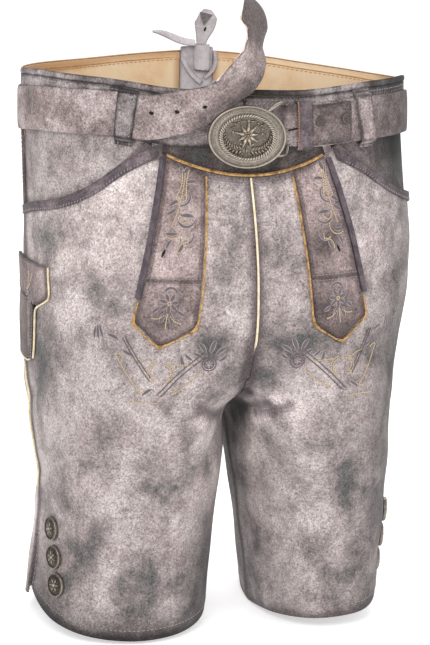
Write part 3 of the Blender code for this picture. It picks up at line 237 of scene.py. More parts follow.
def tube_faces(start: int, rings: int, sides: int) -> list[tuple[int, ...]]:
    """Faces of a closed tube whose rings of points follow one another.

    Args:
        start: Number of its first point.
        rings: How many rings it has.
        sides: Points on a ring.

    Returns:
        Corner numbers of each face.
    """
    faces = []
    last = start + (rings - 1) * sides
    for ring in range(start, last, sides):
        for k in range(sides):
            a, b = ring + k, ring + (k + 1) % sides
            faces.append((a, b, b + sides, a + sides))
    return faces + [tuple(range(start, start + sides))[::-1], tuple(range(last, last + sides))]


def tube_mesh(name: str, points: Sequence, faces: Sequence) -> bpy.types.Object:
    """A smooth object of tubes whose faces look outward."""
    piece = new_mesh(name, points, faces)
    with editing(piece):
        bpy.ops.mesh.normals_make_consistent(inside=False)
    piece.data.shade_smooth()
    return piece


def unit_rows(rows: np.ndarray) -> np.ndarray:
    """Rows scaled to a length of one."""
    return rows / (np.linalg.norm(rows, axis=1, keepdims=True) + 1e-9)


def outward(points: np.ndarray) -> np.ndarray:
    """Smooth outward directions of the trousers at given points.

    Args:
        points: Positions, one row each.

    Returns:
        Unit vectors from the torso's or the leg's axis.
    """
    x, y, z = points.T
    way = smooth(rise(z, -0.150, -0.250))[:, None]
    torso = np.stack([x / 0.168**2, (y + 0.010) / 0.115**2, 0 * x], axis=1)
    side = np.where(x < 0, -1.0, 1.0)
    leg = np.stack([(x - side * 0.086) / 0.074**2, (y + 0.010) / 0.100**2, 0 * x], axis=1)
    return unit_rows(unit_rows(torso) * (1 - way) + unit_rows(leg) * way)


def outward_at(point: Sequence[float]) -> Vector:
    """The smooth outward direction at one place."""
    return Vector(outward(np.array([point]))[0])


# ---------------------------------------------------------------- finishes
class Nodes:
    """A material's node tree, filled one node at a time."""

    def __init__(self, name: str) -> None:
        """Start a material with a principled shader and an output.

        Args:
            name: The material's name.
        """
        self.material = bpy.data.materials.new(name)
        self.material.use_nodes = True
        self.tree = self.material.node_tree
        self.tree.nodes.clear()
        self.shader = self.tree.nodes.new("ShaderNodeBsdfPrincipled")
        end = self.tree.nodes.new("ShaderNodeOutputMaterial")
        self.tree.links.new(self.shader.outputs[0], end.inputs[0])
        self.where = self.tree.nodes.new("ShaderNodeTexCoord").outputs["Object"]

    def feed(self, node: bpy.types.Node, inputs: dict) -> None:
        """Set or link a node's inputs, given by name or number."""
        for key, value in inputs.items():
            if isinstance(value, Socket):
                self.tree.links.new(value, node.inputs[key])
            else:
                node.inputs[key].default_value = value

    def add(self, kind: str, inputs: dict, out: Union[int, str] = 0, **settings: str) -> Socket:
        """Add one node with its settings and links.

        Args:
            kind: Node type without its ShaderNode prefix.
            inputs: Input name or number to a value or a socket to link.
            out: Output to return.
            **settings: Node properties.

        Returns:
            The chosen output socket.
        """
        node = self.tree.nodes.new("ShaderNode" + kind)
        for key, value in settings.items():
            setattr(node, key, value)
        self.feed(node, inputs)
        return node.outputs[out]

    def noise(self, size: float, detail: float = 3.0, warp: float = 0.0, stretch: tuple = (1, 1, 1),
              turn: tuple = (0, 0, 0)) -> Socket:
        """Noise whose features are about the given size in metres.

        Args:
            size: Size of a feature.
            detail: Octaves of finer noise.
            warp: How far it is distorted.
            stretch: Scale along each axis.
            turn: Rotation about each axis, in radians.

        Returns:
            The noise's value.
        """
        where = self.add("Mapping", {"Vector": self.where, "Scale": stretch, "Rotation": turn})
        inputs = {"Vector": where, "Scale": 1 / size, "Detail": detail, "Roughness": 0.55, "Distortion": warp}
        return self.add("TexNoise", inputs)

    def ramp(self, value: Value, low: float, high: float) -> Socket:
        """Remap a value smoothly so that low becomes 0 and high becomes 1."""
        inputs = {"Value": value, "From Min": low, "From Max": high, "To Min": 0.0, "To Max": 1.0}
        return self.add("MapRange", inputs, interpolation_type="SMOOTHSTEP")

    def scaled(self, value: Value, factor: float, plus: float = 0.0) -> Socket:
        """A value times a factor, plus an offset."""
        return self.add("Math", {0: value, 1: factor, 2: plus}, operation="MULTIPLY_ADD")

    def weigh(self, *terms: tuple) -> Socket:
        """The sum of some values, each given with its factor and perhaps an offset."""
        total = self.scaled(*terms[0])
        for term in terms[1:]:
            total = self.add("Math", {0: total, 1: self.scaled(*term)}, operation="ADD")
        return total

    def mix(self, share: Value, one: Value, two: Value, blend: str = "MIX") -> Socket:
        """Two colours mixed by a share."""
        inputs = {0: share, 6: one, 7: two}
        return self.add("Mix", inputs, out=2, data_type="RGBA", blend_type=blend)

    def over(self, colour: Value, code: str, share: Value, most: float = 1.0) -> Socket:
        """A colour with another one, in hex, laid over it by a share of the most."""
        return self.mix(self.scaled(share, most), colour, srgb(code))

    def attribute(self, name: str) -> Socket:
        """A mesh attribute's value."""
        return self.add("Attribute", {}, out="Fac", attribute_name=name)

    def finish(self, looks: dict, bump: Optional[Socket] = None, strength: float = 0.3,
               depth: float = 0.5 * MM) -> bpy.types.Material:
        """Give the shader its looks and relief.

        Args:
            looks: The shader's inputs by name.
            bump: Height socket, if the surface has relief.
            strength: Strength of the relief.
            depth: Height in metres of the relief's full range.

        Returns:
            The material.
        """
        if bump is not None:
            relief = {"Strength": strength, "Distance": depth, "Height": bump}
            looks = {**looks, "Normal": self.add("Bump", relief)}
        self.feed(self.shader, looks)
        return self.material


@dataclass(frozen=True)
class Suede:
    """Stone-washed suede: pale ground, cloudy dark patches, darker edges and a pebbled nap."""

    pale: str = "D2C6C4"
    middle: str = "A69A98"
    dark: str = "5F5A58"
    edge: str = "54474B"
    cloud: float = 0.060
    bias: float = 0.0
    edge_strength: float = 0.80
    grain: float = 1.3
    cool: float = 0.30

    def make(self, name: str) -> bpy.types.Material:
        """Build the material.

        Args:
            name: Its name.

        Returns:
            The material.
        """
        n = Nodes(name)
        cloud = n.noise(self.cloud, 4, 0.5)
        second = n.noise(self.cloud * 0.45, 4, 0.7, (1, 1, 0.8), (0.3, 0.5, 0.2))
        streak = n.noise(0.015, 4, 0.3, (1.0, 1.0, 0.45), (0.0, 0.7, 0.0))
        mottle = n.noise(0.0062, 4, 0.3)
        speck = n.weigh((n.noise(0.0021, 2, 0.4), 0.45), (n.noise(0.0012, 2), 0.55))
        mass = n.weigh((cloud, 1.25, -0.625), (second, 0.85, -0.425), (n.attribute("patch"), 0.24),
                       (streak, 0.34, -0.17), (mottle, 0.42, -0.21 + self.bias))
        colour = n.over(srgb(self.pale), self.middle, n.ramp(mass, -0.30, 0.12))
        colour = n.over(colour, self.dark, n.ramp(mass, -0.02, 0.46))
        tint = n.noise(0.030, 3, 0.3, (1, 1, 1), (0.9, 0.2, 0.4))
        colour = n.over(colour, "B49D9F", n.ramp(tint, 0.50, 0.78), 0.35)
        cool = n.weigh((mass, 1), (second, 0.5, -0.25))
        colour = n.over(colour, "6F7472", n.ramp(cool, 0.10, 0.42), self.cool)
        edge = n.weigh((n.attribute("edge"), 1), (second, 0.5, -0.25))
        colour = n.over(colour, self.edge, n.ramp(edge, 0.25, 0.95), self.edge_strength)
        shade = n.scaled(speck, -2.6 * self.grain, 1.0 + 1.3 * self.grain)
        # the tone darkens the colour, or lightens it below zero: darker down the legs and in the bands'
        # clouds, with painted shade and painted light in the fold between the legs, towards the edges and
        # under the belt
        wear_and_shade = n.scaled(n.attribute("tone"), -0.22, 1.0)
        shade = n.add("Math", {0: shade, 1: wear_and_shade}, operation="MULTIPLY")
        colour = n.mix(1.0, colour, shade, "MULTIPLY")
        looks = {"Base Color": colour, "Roughness": 0.92, "Sheen Weight": 0.12, "Sheen Roughness": 0.55,
                 "Specular IOR Level": 0.14}
        return n.finish(looks, n.weigh((speck, -0.9, 0.9), (mottle, 0.5)), 0.45, 0.9 * MM)


@dataclass(frozen=True)
class Leather:
    """Smooth or nubuck leather with light mottling and a fine grain."""

    ground: str
    dark: str
    rough: float = 0.6
    share: float = 0.6
    size: float = 0.028
    grain: float = 0.0011
    relief: float = 0.25
    edge: str = ""

    def make(self, name: str) -> bpy.types.Material:
        """Build the material.

        Args:
            name: Its name.

        Returns:
            The material.
        """
        n = Nodes(name)
        cloud = n.noise(self.size, 5, 0.4)
        mottle = n.noise(self.size * 0.2, 4, 0.3)
        grain = n.noise(self.grain, 3)
        mass = n.weigh((cloud, 0.7), (mottle, 0.3), (grain, 0.2, -0.1))
        colour = n.over(srgb(self.ground), self.dark, n.ramp(mass, 0.38, 0.68), self.share)
        if self.edge:
            edge = n.weigh((n.attribute("edge"), 1), (n.attribute("patch"), 1))
            colour = n.over(colour, self.edge, n.ramp(edge, 0.30, 1.0), 0.75)
        looks = {"Base Color": colour, "Roughness": self.rough, "Specular IOR Level": 0.35}
        return n.finish(looks, n.weigh((grain, 0.6), (mottle, 0.6)), self.relief)


@dataclass(frozen=True)
class Thread:
    """Sewing or embroidery thread with fine strands across its length."""

    colour: str
    shade: str
    sheen: float = 0.2

    def make(self, name: str) -> bpy.types.Material:
        """Build the material.

        Args:
            name: Its name.

        Returns:
            The material.
        """
        n = Nodes(name)
        strands = n.add("TexWave", {"Vector": n.where, "Scale": 320.0, "Distortion": 3.0, "Detail": 1.0})
        colour = n.over(srgb(self.colour), self.shade, strands, 0.6)
        looks = {"Base Color": colour, "Roughness": 0.62, "Sheen Weight": self.sheen}
        return n.finish(looks, strands, 0.25, 0.3 * MM)


@dataclass(frozen=True)
class Metal:
    """Antique cast metal: bright where it is rubbed and dark in its hollows."""

    bright: str = "B5AA9E"
    dark: str = "241F1B"
    rough: float = 0.36

    def make(self, name: str) -> bpy.types.Material:
        """Build the material.

        Args:
            name: Its name.

        Returns:
            The material.
        """
        n = Nodes(name)
        # on metal this is how brightly it is rubbed, darker in its hollows
        wear_and_shade = n.weigh((n.attribute("wear_and_shade"), 1), (n.noise(0.0028, 4, 0.3), 0.36, -0.18),
                       (n.noise(0.0008, 2), 0.60, -0.30))
        grime = n.ramp(n.noise(0.0012, 3), 0.35, 0.75)
        colour = n.over(srgb(self.dark), self.bright, n.ramp(wear_and_shade, 0.05, 0.95))
        colour = n.over(colour, "5A5046", grime, 0.28)
        looks = {"Base Color": colour, "Roughness": n.scaled(grime, 0.20, self.rough), "Metallic": 1.0}
        return n.finish(looks, n.noise(0.0009, 3), 0.22, 0.3 * MM)


class Finish(Enum):
    """The finishes that pieces are made in: a material's name, its slot and its recipe."""

    SUEDE = "suede", "suede", Suede()
    BAND = "suede_band", "suede", Suede("BAA9A6", "938280", "5A4E4B", "4B3F3E", 0.050, 0.04, 0.75, 1.3, 0.08)
    DARK = "suede_dark", "suede_dark", Suede("7C716E", "564E4C", "302A2B", "2A2426", 0.045, 0.0, 0.6)
    INSIDE = "suede_inside", "suede", Suede("CDBCA8", "B8A793", "927F70", "806D60", 0.08, 0.0, 0.4, 0.4)
    BELT = "belt_nubuck", "belt", Suede("B3A8A7", "938482", "5E5351", "463E40", 0.036, 0.02, 0.85, 1.4, 0.05)
    LOOP = "loop_nubuck", "belt", Suede("AFA5A5", "857C7B", "4A4343", "2F292B", 0.030, 0.0, 0.9, 1.4, 0.08)
    CUT = "belt_cut_edge", "belt", Leather("E2CFC6", "BFA79E", 0.75, 0.6, 0.010)
    LINING = "lining_tan", "lining", Leather("FFE3BC", "F0C090", 0.60, 0.7, 0.040, 0.0014, 0.3, "BC8A58")
    TAPE = "lining_tape", "lining", Leather("CF9E6A", "A87442", 0.6, 0.9, 0.006)
    PIPING = "piping_gold", "piping", Leather("C49A60", "5E4024", 0.48, 1.0, 0.004)
    SEAM_PIPING = "piping_cream", "piping", Leather("EFE2C4", "C2A67A", 0.55, 0.7, 0.007)
    BINDING = "binding_dark", "binding", Suede("7C7074", "5C5155", "3A3235", "332B2F", 0.020, 0.05, 0.5, 1.1)
    ROLL = "roll_dark", "binding", Leather("5C5158", "2B2429", 0.40, 0.9, 0.012, 0.0011, 0.3)
    LACE = "lace_white", "lace", Leather("DDD6D8", "B0A7AA", 0.80, 0.7, 0.012, 0.0009, 0.35, "8F8588")
    # painted shade: the dark in the fold of the lace tab
    FOLD = "lace_shade", "lace", Leather("857C7B", "4F4847", 0.85, 0.9, 0.004, 0.0009, 0.35)
    PEWTER = "pewter", "pewter", Metal()
    IRON = "snap_iron", "pewter", Metal("8E8580", "332C2A", 0.55)
    # painted shade: near-black wells in punched holes and slots, where the opening lies in shade
    HOLE = "hole_dark", "belt", Leather("1B1718", "0E0C0D", 0.9, 0.3, 0.01)
    THREAD_PALE = "thread_cream", "lace", Thread("C9B394", "9C8468")
    THREAD_GREY = "thread_grey", "lace", Thread("A3989A", "756A6D")
    THREAD_DARK = "thread_dark", "binding", Thread("66585C", "423639")
    THREAD_GOLD = "thread_gold", "piping", Thread("C98F62", "8A5636")
    THREAD_TONE = "thread_tone", "binding", Thread("64575A", "3E3337")

    @property
    def slot(self) -> str:
        """The slot of the pieces in this finish."""
        return self.value[1]


@cache
def material(finish: Finish) -> bpy.types.Material:
    """The finish's material, built once."""
    name, _, recipe = finish.value
    return recipe.make(name)


def settle(piece: bpy.types.Object, *finishes: Finish, nodes: Sequence[str] = ()) -> bpy.types.Object:
    """Give a piece its finishes, hand it to the frame and report it.

    Args:
        piece: The finished object, at the origin.
        *finishes: Its materials in slot order.
        nodes: Part nodes that it stands for.

    Returns:
        The piece.
    """
    piece.data.materials.clear()
    for finish in finishes:
        piece.data.materials.append(material(finish))
    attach(piece, "root")
    if nodes:
        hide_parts(*nodes)
    LOG.info("%s in %s", piece.name, finishes[0].name)
    return piece


# ---------------------------------------------------------------- the creased surface
class Side(Enum):
    """Where a mark is placed from: the way a viewer there looks."""

    FRONT = (0.0, 1.0)
    BACK = (0.0, -1.0)
    RIGHT = (1.0, 0.0)
    LEFT = (-1.0, 0.0)

    def ray(self, across: float, z: float) -> tuple[Vector, Vector]:
        """Start and direction of a look at a place.

        Args:
            across: Distance along X from the front or back, along Y from a side.
            z: Height.

        Returns:
            A start point outside the trousers and a unit direction.
        """
        x, y = self.value
        away = 0.4
        start = Vector((-x * away, across, z)) if x else Vector((across, -y * away, z))
        return start, Vector((x, y, 0.0))


@dataclass(frozen=True)
class Crease:
    """One soft trough or ridge, from one place to another on a side of the trousers, in metres."""

    side: Side
    a0: float
    z0: float
    a1: float
    z1: float
    bow: float
    out: float
    width: float


@dataclass(frozen=True)
class Patch:
    """A cloudy patch of the wash, or a mark of painted light: where it is, how wide, and how dark (or pale,
    below zero).
    """

    side: Side
    across: float
    z: float
    reach: float
    dark: float


# creases by side in millimetres: from across and height to across and height, bow, push and width
CREASE_MARKS = {
    Side.FRONT: (
        (-12, -205, -70, -262, 6, -1.5, 9.5), (-24, -256, -58, -300, 4, 1.8, 8),
        (-14, -252, -60, -318, 6, -2.4, 8), (12, -206, 60, -232, -4, -1.5, 8),
        (34, -262, 74, -306, -5, 1.8, 8), (20, -262, 62, -326, -4, -2.2, 7.8),
        (-3, -168, -4, -228, 1, -3.4, 5), (-118, -188, -82, -246, 8, -1.8, 10),
        (-136, -236, -78, -300, 10, 2, 10.5), (-146, -282, -74, -352, 8, -2.4, 10),
        (-128, -338, -60, -396, 7, 2, 9.5), (-140, -372, -80, -428, 6, -2, 9),
        (126, -196, 88, -250, -6, 1.8, 9.5), (142, -246, 84, -318, -9, -2.2, 10),
        (132, -306, 70, -362, -7, 2, 9.2), (126, -342, 58, -410, -8, -2.3, 9.5),
        (118, -392, 70, -428, -4, 1.6, 8), (-150, -110, -112, -150, 5, -1.6, 9),
        (150, -112, 116, -158, -5, -1.7, 8.8), (-30, -82, -12, -150, 4, -1.4, 8.5),
        (26, -70, 12, -142, -4, -1.4, 8.5),
    ),
    Side.BACK: (
        (12, -172, 94, -226, 10, -3.2, 9.5), (16, -206, 100, -262, 10, 2.6, 9),
        (20, -240, 106, -296, 8, -3, 9.2), (-12, -176, -90, -222, -10, -3, 9.2),
        (-16, -210, -104, -268, -9, 2.5, 9), (-18, -244, -98, -304, -8, -2.7, 9.4),
        (50, -320, 122, -356, 6, -2, 10), (-46, -336, -128, -380, -6, -2.1, 10),
        (60, -372, 112, -404, 4, 1.7, 9), (-62, -300, -120, -330, -4, 1.8, 9),
    ),
    Side.RIGHT: (
        (-60, -226, 16, -268, 6, -2, 9.5), (-48, -300, 38, -336, 6, -1.8, 9.5),
    ),
    Side.LEFT: (
        (-64, -186, 20, -232, 6, -2, 9.5), (-50, -270, 40, -318, 6, 1.8, 9),
    ),
}
CREASES = [Crease(side, *(MM * x for x in mark)) for side, marks in CREASE_MARKS.items() for mark in marks]

# the wash's patches by side, and marks of painted light: across, height and reach in millimetres, and how
# dark
PATCH_MARKS = {
    Side.FRONT: (
        (-162, -47, 12, 0.5), (-164, -95, 12, 0.6), (-118, -141, 14, 0.1), (-118, -174, 10, 0.1),
        (-40, -177, 12, 1.7), (-142, -202, 14, 0.4), (-162, -234, 14, 0.5), (-138, -358, 18, 0.7),
        (-95, -402, 22, 0.6), (-51, -379, 12, 0.5), (-155, -325, 10, 0.5), (19, -52, 13, 0.6),
        # painted light: (15.5, -301.5), (21.6, -343.6) and (28, -390) lift the shade on the left leg's inner
        # side, and (34, -236) and (-36, -240) lift the shade on either side of the fork
        (14, -97, 10, 0.2), (10, -140, 14, -0.8), (10, -112, 13, -0.8), (15.5, -301.5, 12, -1.2),
        (21.6, -343.6, 14, -1.4), (28, -390, 16, -1.2), (-82, -13, 10, 1.3), (90, -22, 12, 1.2),
        (34, -236, 10, -1.4), (68, -365, 18, 0.9), (-100, -150, 14, -0.8), (-100, -46, 12, 0.9),
        (24, -150, 12, 0.6), (88, -62, 14, 0.7), (-34, -177, 9, 0.9), (29, -178, 9, 0.9), (48, -176, 9, 0.9),
        (104, -196, 12, 0.8), (11, -160, 9, 0.8), (-46, -258, 12, 0.7), (-36, -240, 11, -1.2),
        (-27, -290, 10, 0.8), (-22, -345, 10, 0.8), (-28, -245, 8, 0.6), (-29, -120, 12, 0.5),
        (36, -176, 20, 1.5), (82, -173, 14, 0.6), (20, -267, 14, 0.6), (89, -298, 21, 0.8), (17, -307, 8, 1),
        (84, -397, 14, 0.6), (36, -411, 12, 0.6), (136, -135, 12, 0.6), (-15, -248, 14, 0.4),
        (-122, -21, 12, 0.6), (128, -247, 12, 0.4), (-141, -153, 18, -1), (-148, -108, 14, -0.7),
        (-112, -94, 16, -0.6), (-85, -243, 24, -0.8), (-150, -42, 10, -0.6), (-12, -104, 16, -0.7),
        (118, -77, 18, -0.9), (102, -103, 12, -0.6), (52, -227, 20, -0.5), (71, -341, 18, -0.9),
        (43, -346, 14, -0.6), (-48, -334, 16, -0.7), (-112, -375, 10, -0.6), (-126, -295, 20, -0.3),
        (103, -206, 14, -0.5), (-20, -172, 14, 0.6),
    ),
    Side.BACK: (
        (60, -110, 34, 0.7), (-70, -80, 30, 0.6), (90, -230, 34, 0.7), (-50, -190, 28, -0.8),
        (30, -180, 30, -0.6), (-100, -310, 36, 0.7), (80, -360, 34, 0.6), (-60, -390, 26, -0.7),
    ),
    Side.LEFT: (
        (-20, -180, 30, 0.6), (30, -290, 34, -0.5),
    ),
    Side.RIGHT: (
        (40, -120, 32, 0.6), (50, -330, 30, 0.6),
    ),
}
PATCHES = [
    Patch(side, across * MM, z * MM, reach * MM, dark)
    for side, marks in PATCH_MARKS.items()
    for across, z, reach, dark in marks
]

# painted shadow in the fold from the centre seam's foot down between the legs, painted light (below zero) on
# the fold's sides that face away, and painted shade at the left hip under the belt: place and reach in
# millimetres, strength
FOLD_SHADE = (
    (-4, -134, -180, 3, 0.8), (-1, -128, -192, 4, 1.4), (1, -114, -205, 5, 2), (1.5, -107, -224, 7.5, 2.6),
    (7, -73, -244, 9, 1.8), (5, -57, -248, 11, 3), (33, -120, -236, 12, -1.6), (48, -125, -238, 10, -0.4),
    (-36, -118, -240, 14, -1.9), (5, -41, -262, 10, 2.6), (84, -108, -26, 12, 1.8), (9, -60, -260, 8, 0.8),
    (6, -12, -288, 11, 2.4), (8, -36, -281, 9, 1.6), (0, -30, -270, 6, 0.6), (10, -12, -308, 10, 1.2),
    (6, -30, -300, 8, 0.8), (10, -78, -248, 9, -2.6), (15, -91, -244, 10, -1.9), (22, -101, -242, 11, -1.7),
    (14.5, -80, -261, 11, -2.3), (16.5, -72, -277, 12, -2.2), (19.5, -63, -297, 13, -2),
    (25, -59, -324, 14, -1.5), (24, -47, -342, 13, -1.4), (32, -58, -358, 15, -1.1),
    (26, -119, -230, 9, -1.3), (2, -20, -300, 9, 1.6), (-6, -100, -232, 8, 1), (-4, -70, -255, 10, 1.4),
    (-4, -50, -285, 10, 1),
)

# how far the front swells forward round the fork: push, then across, its width, height and its width
FORE = (
    (0.0105, -0.034, 0.028, -0.248, 0.023), (0.0095, 0.026, 0.020, -0.246, 0.020),
    (-0.0065, 0.036, 0.028, -0.212, 0.015), (-0.0050, -0.038, 0.026, -0.208, 0.013),
)


class Surface:
    """The trousers' surface: looks placed on it, its creases and its patches."""

    def __init__(self, nodes: Sequence[str], creases: Sequence[Crease], patches: Sequence[Patch]) -> None:
        """Read the part's panels and place the creases and patches on them.

        Args:
            nodes: Part nodes that make up the surface.
            creases: The main creases.
            patches: The wash's patches, with some marks of painted light.
        """
        points: list[Vector] = []
        faces: list[list[int]] = []
        for node in nodes:
            mesh = frame["nodes"][node].data
            start = len(points)
            points += [vertex.co.copy() for vertex in mesh.vertices]
            faces += [[start + k for k in polygon.vertices] for polygon in mesh.polygons]
        self.tree = BVHTree.FromPolygons(points, faces)
        self.lines = [(crease, self._line(crease)) for crease in creases]
        self.patches = [(np.array(self.look(p.side, p.across, p.z)[0]), p.reach, p.dark) for p in patches]
        self.fold = [(np.array(place) * MM, reach * MM, dark) for *place, reach, dark in FOLD_SHADE]

    def look(self, side: Side, across: float, z: float) -> tuple[Vector, Vector]:
        """The first point seen from a side, and the smooth outward direction there."""
        start, direction = side.ray(across, z)
        hit = self.tree.ray_cast(start, direction)[0] or self.tree.find_nearest(start)[0]
        return hit, outward_at(hit)

    def _line(self, crease: Crease) -> np.ndarray:
        """A crease's points on the surface.

        Args:
            crease: The crease.

        Returns:
            Its points in order, one row each.
        """
        run = Vector((crease.a1 - crease.a0, crease.z1 - crease.z0))
        beside = Vector((-run.y, run.x)).normalized()
        line = []
        for way in np.linspace(0, 1, 11):
            bow = crease.bow * 4 * way * (1 - way)
            across = crease.a0 + run.x * way + beside.x * bow
            z = crease.z0 + run.y * way + beside.y * bow
            line.append(self.look(crease.side, across, z)[0])
        return np.array(line)

    def height(self, points: np.ndarray) -> np.ndarray:
        """How far the creases push each point out.

        Args:
            points: Positions, one row each.

        Returns:
            Distances in metres.
        """
        beyond = 0.045
        total = np.zeros(len(points))
        for crease, line in self.lines:
            reach = 0.5 * np.linalg.norm(line[-1] - line[0]) + beyond
            near = np.linalg.norm(points - line.mean(0), axis=1) < reach
            if not near.any():
                continue
            some = points[near]
            best = np.full(len(some), 1e9)
            along = np.zeros(len(some))
            for k in range(len(line) - 1):
                a, run = line[k], line[k + 1] - line[k]
                t = np.clip(((some - a) @ run) / (run @ run), 0, 1)
                away = np.linalg.norm(some - a - t[:, None] * run, axis=1)
                closer = away < best
                best = np.where(closer, away, best)
                along = np.where(closer, (k + t) / (len(line) - 1), along)
            taper = np.sin(np.pi * np.clip(along, 0.02, 0.98)) ** 0.7
            total[near] += crease.out * taper * bell(best, 0, crease.width * (0.75 + 0.5 * along))
        waves = (
            np.sin(points @ np.array([61.0, 23.0, 47.0]) + 1.3)
            * np.sin(points @ np.array([-35.0, 52.0, 71.0]) + 0.4)
            + 0.6 * np.sin(points @ np.array([118.0, -74.0, 96.0]) + 2.1)
        )
        return total + 0.00045 * waves * rise(points[:, 2], -0.060, -0.110)

    def crease(self, points: np.ndarray) -> np.ndarray:
        """Positions moved by the creases, and by the legs' fullness where they meet.

        Args:
            points: Positions, one row each.

        Returns:
            The moved positions.
        """
        x, y, z = points.T
        front = rise(y, -0.020, -0.070)
        moved = points + outward(points) * self.height(points)[:, None]
        # the right leg's inner side is fuller, in front and below
        moved[:, 0] += 0.0045 * bell(z, -0.243, 0.026) * bell(x, 0.0, 0.016) * front
        moved[:, 0] += 0.0060 * bell(z, -0.282, 0.027) * bell(x, -0.004, 0.012) * rise(y, 0.020, -0.010)
        for push, across, wide, height, high in FORE:
            moved[:, 1] -= push * bell(x, across, wide) * bell(z, height, high) * front
        return moved

    def patch(self, points: np.ndarray) -> np.ndarray:
        """How dark the wash's patches, and the painted light among them, make each point."""
        return clouds(points, self.patches)

    def tone(self, points: np.ndarray) -> np.ndarray:
        """How much darker each point is painted: down the legs and over the flap, with painted shade at the
        left outside, on the right leg's edges and in the fold between the legs.

        Args:
            points: Positions, one row each.

        Returns:
            A value for each point; one darkens the leather by about a fifth.
        """
        x, y, z = points.T
        # down the legs, and along the hem
        way = rise(z, -0.085, -0.195)
        total = 1.35 * smooth(way) + rise(z, -0.408, -0.436) * np.where(x < 0, 2.4, 0.2)
        # over the flap
        total += 0.95 * np.exp(-((x + 0.003) / 0.052) ** 4) * (y < 0) * (1 - way)
        # painted shade at the left outside, then low on the right leg's inner and outer edges
        total += 2.0 * rise(x, 0.092, 0.137) * rise(y, 0.035, -0.005)
        inner = rise(x, -0.056, -0.026) * (x < 0.0) * (y < 0.02)
        total += inner * (1.9 * rise(z, -0.300, -0.360) + 1.3 * rise(z, -0.350, -0.400))
        total += 1.2 * rise(x, -0.146, -0.158) * rise(z, -0.350, -0.380)
        # painted shadow in the fold between the legs, and painted light where the fold's sides face away
        return np.clip(total + clouds(points, self.fold), -2.4, 3.8)


# ---------------------------------------------------------------- smoothed copies of part nodes
@dataclass
class Rim:
    """One sharp edge on the outside of a piece, with the way into its outer face."""

    start: Vector
    end: Vector
    normal: Vector
    inward: Vector

    @property
    def middle(self) -> Vector:
        """The edge's middle."""
        return (self.start + self.end) / 2

    @property
    def run(self) -> Vector:
        """The edge's direction."""
        return (self.end - self.start).normalized()

    @property
    def level(self) -> bool:
        """Whether the edge runs across more than it runs down."""
        return abs(self.run.z) < 0.5


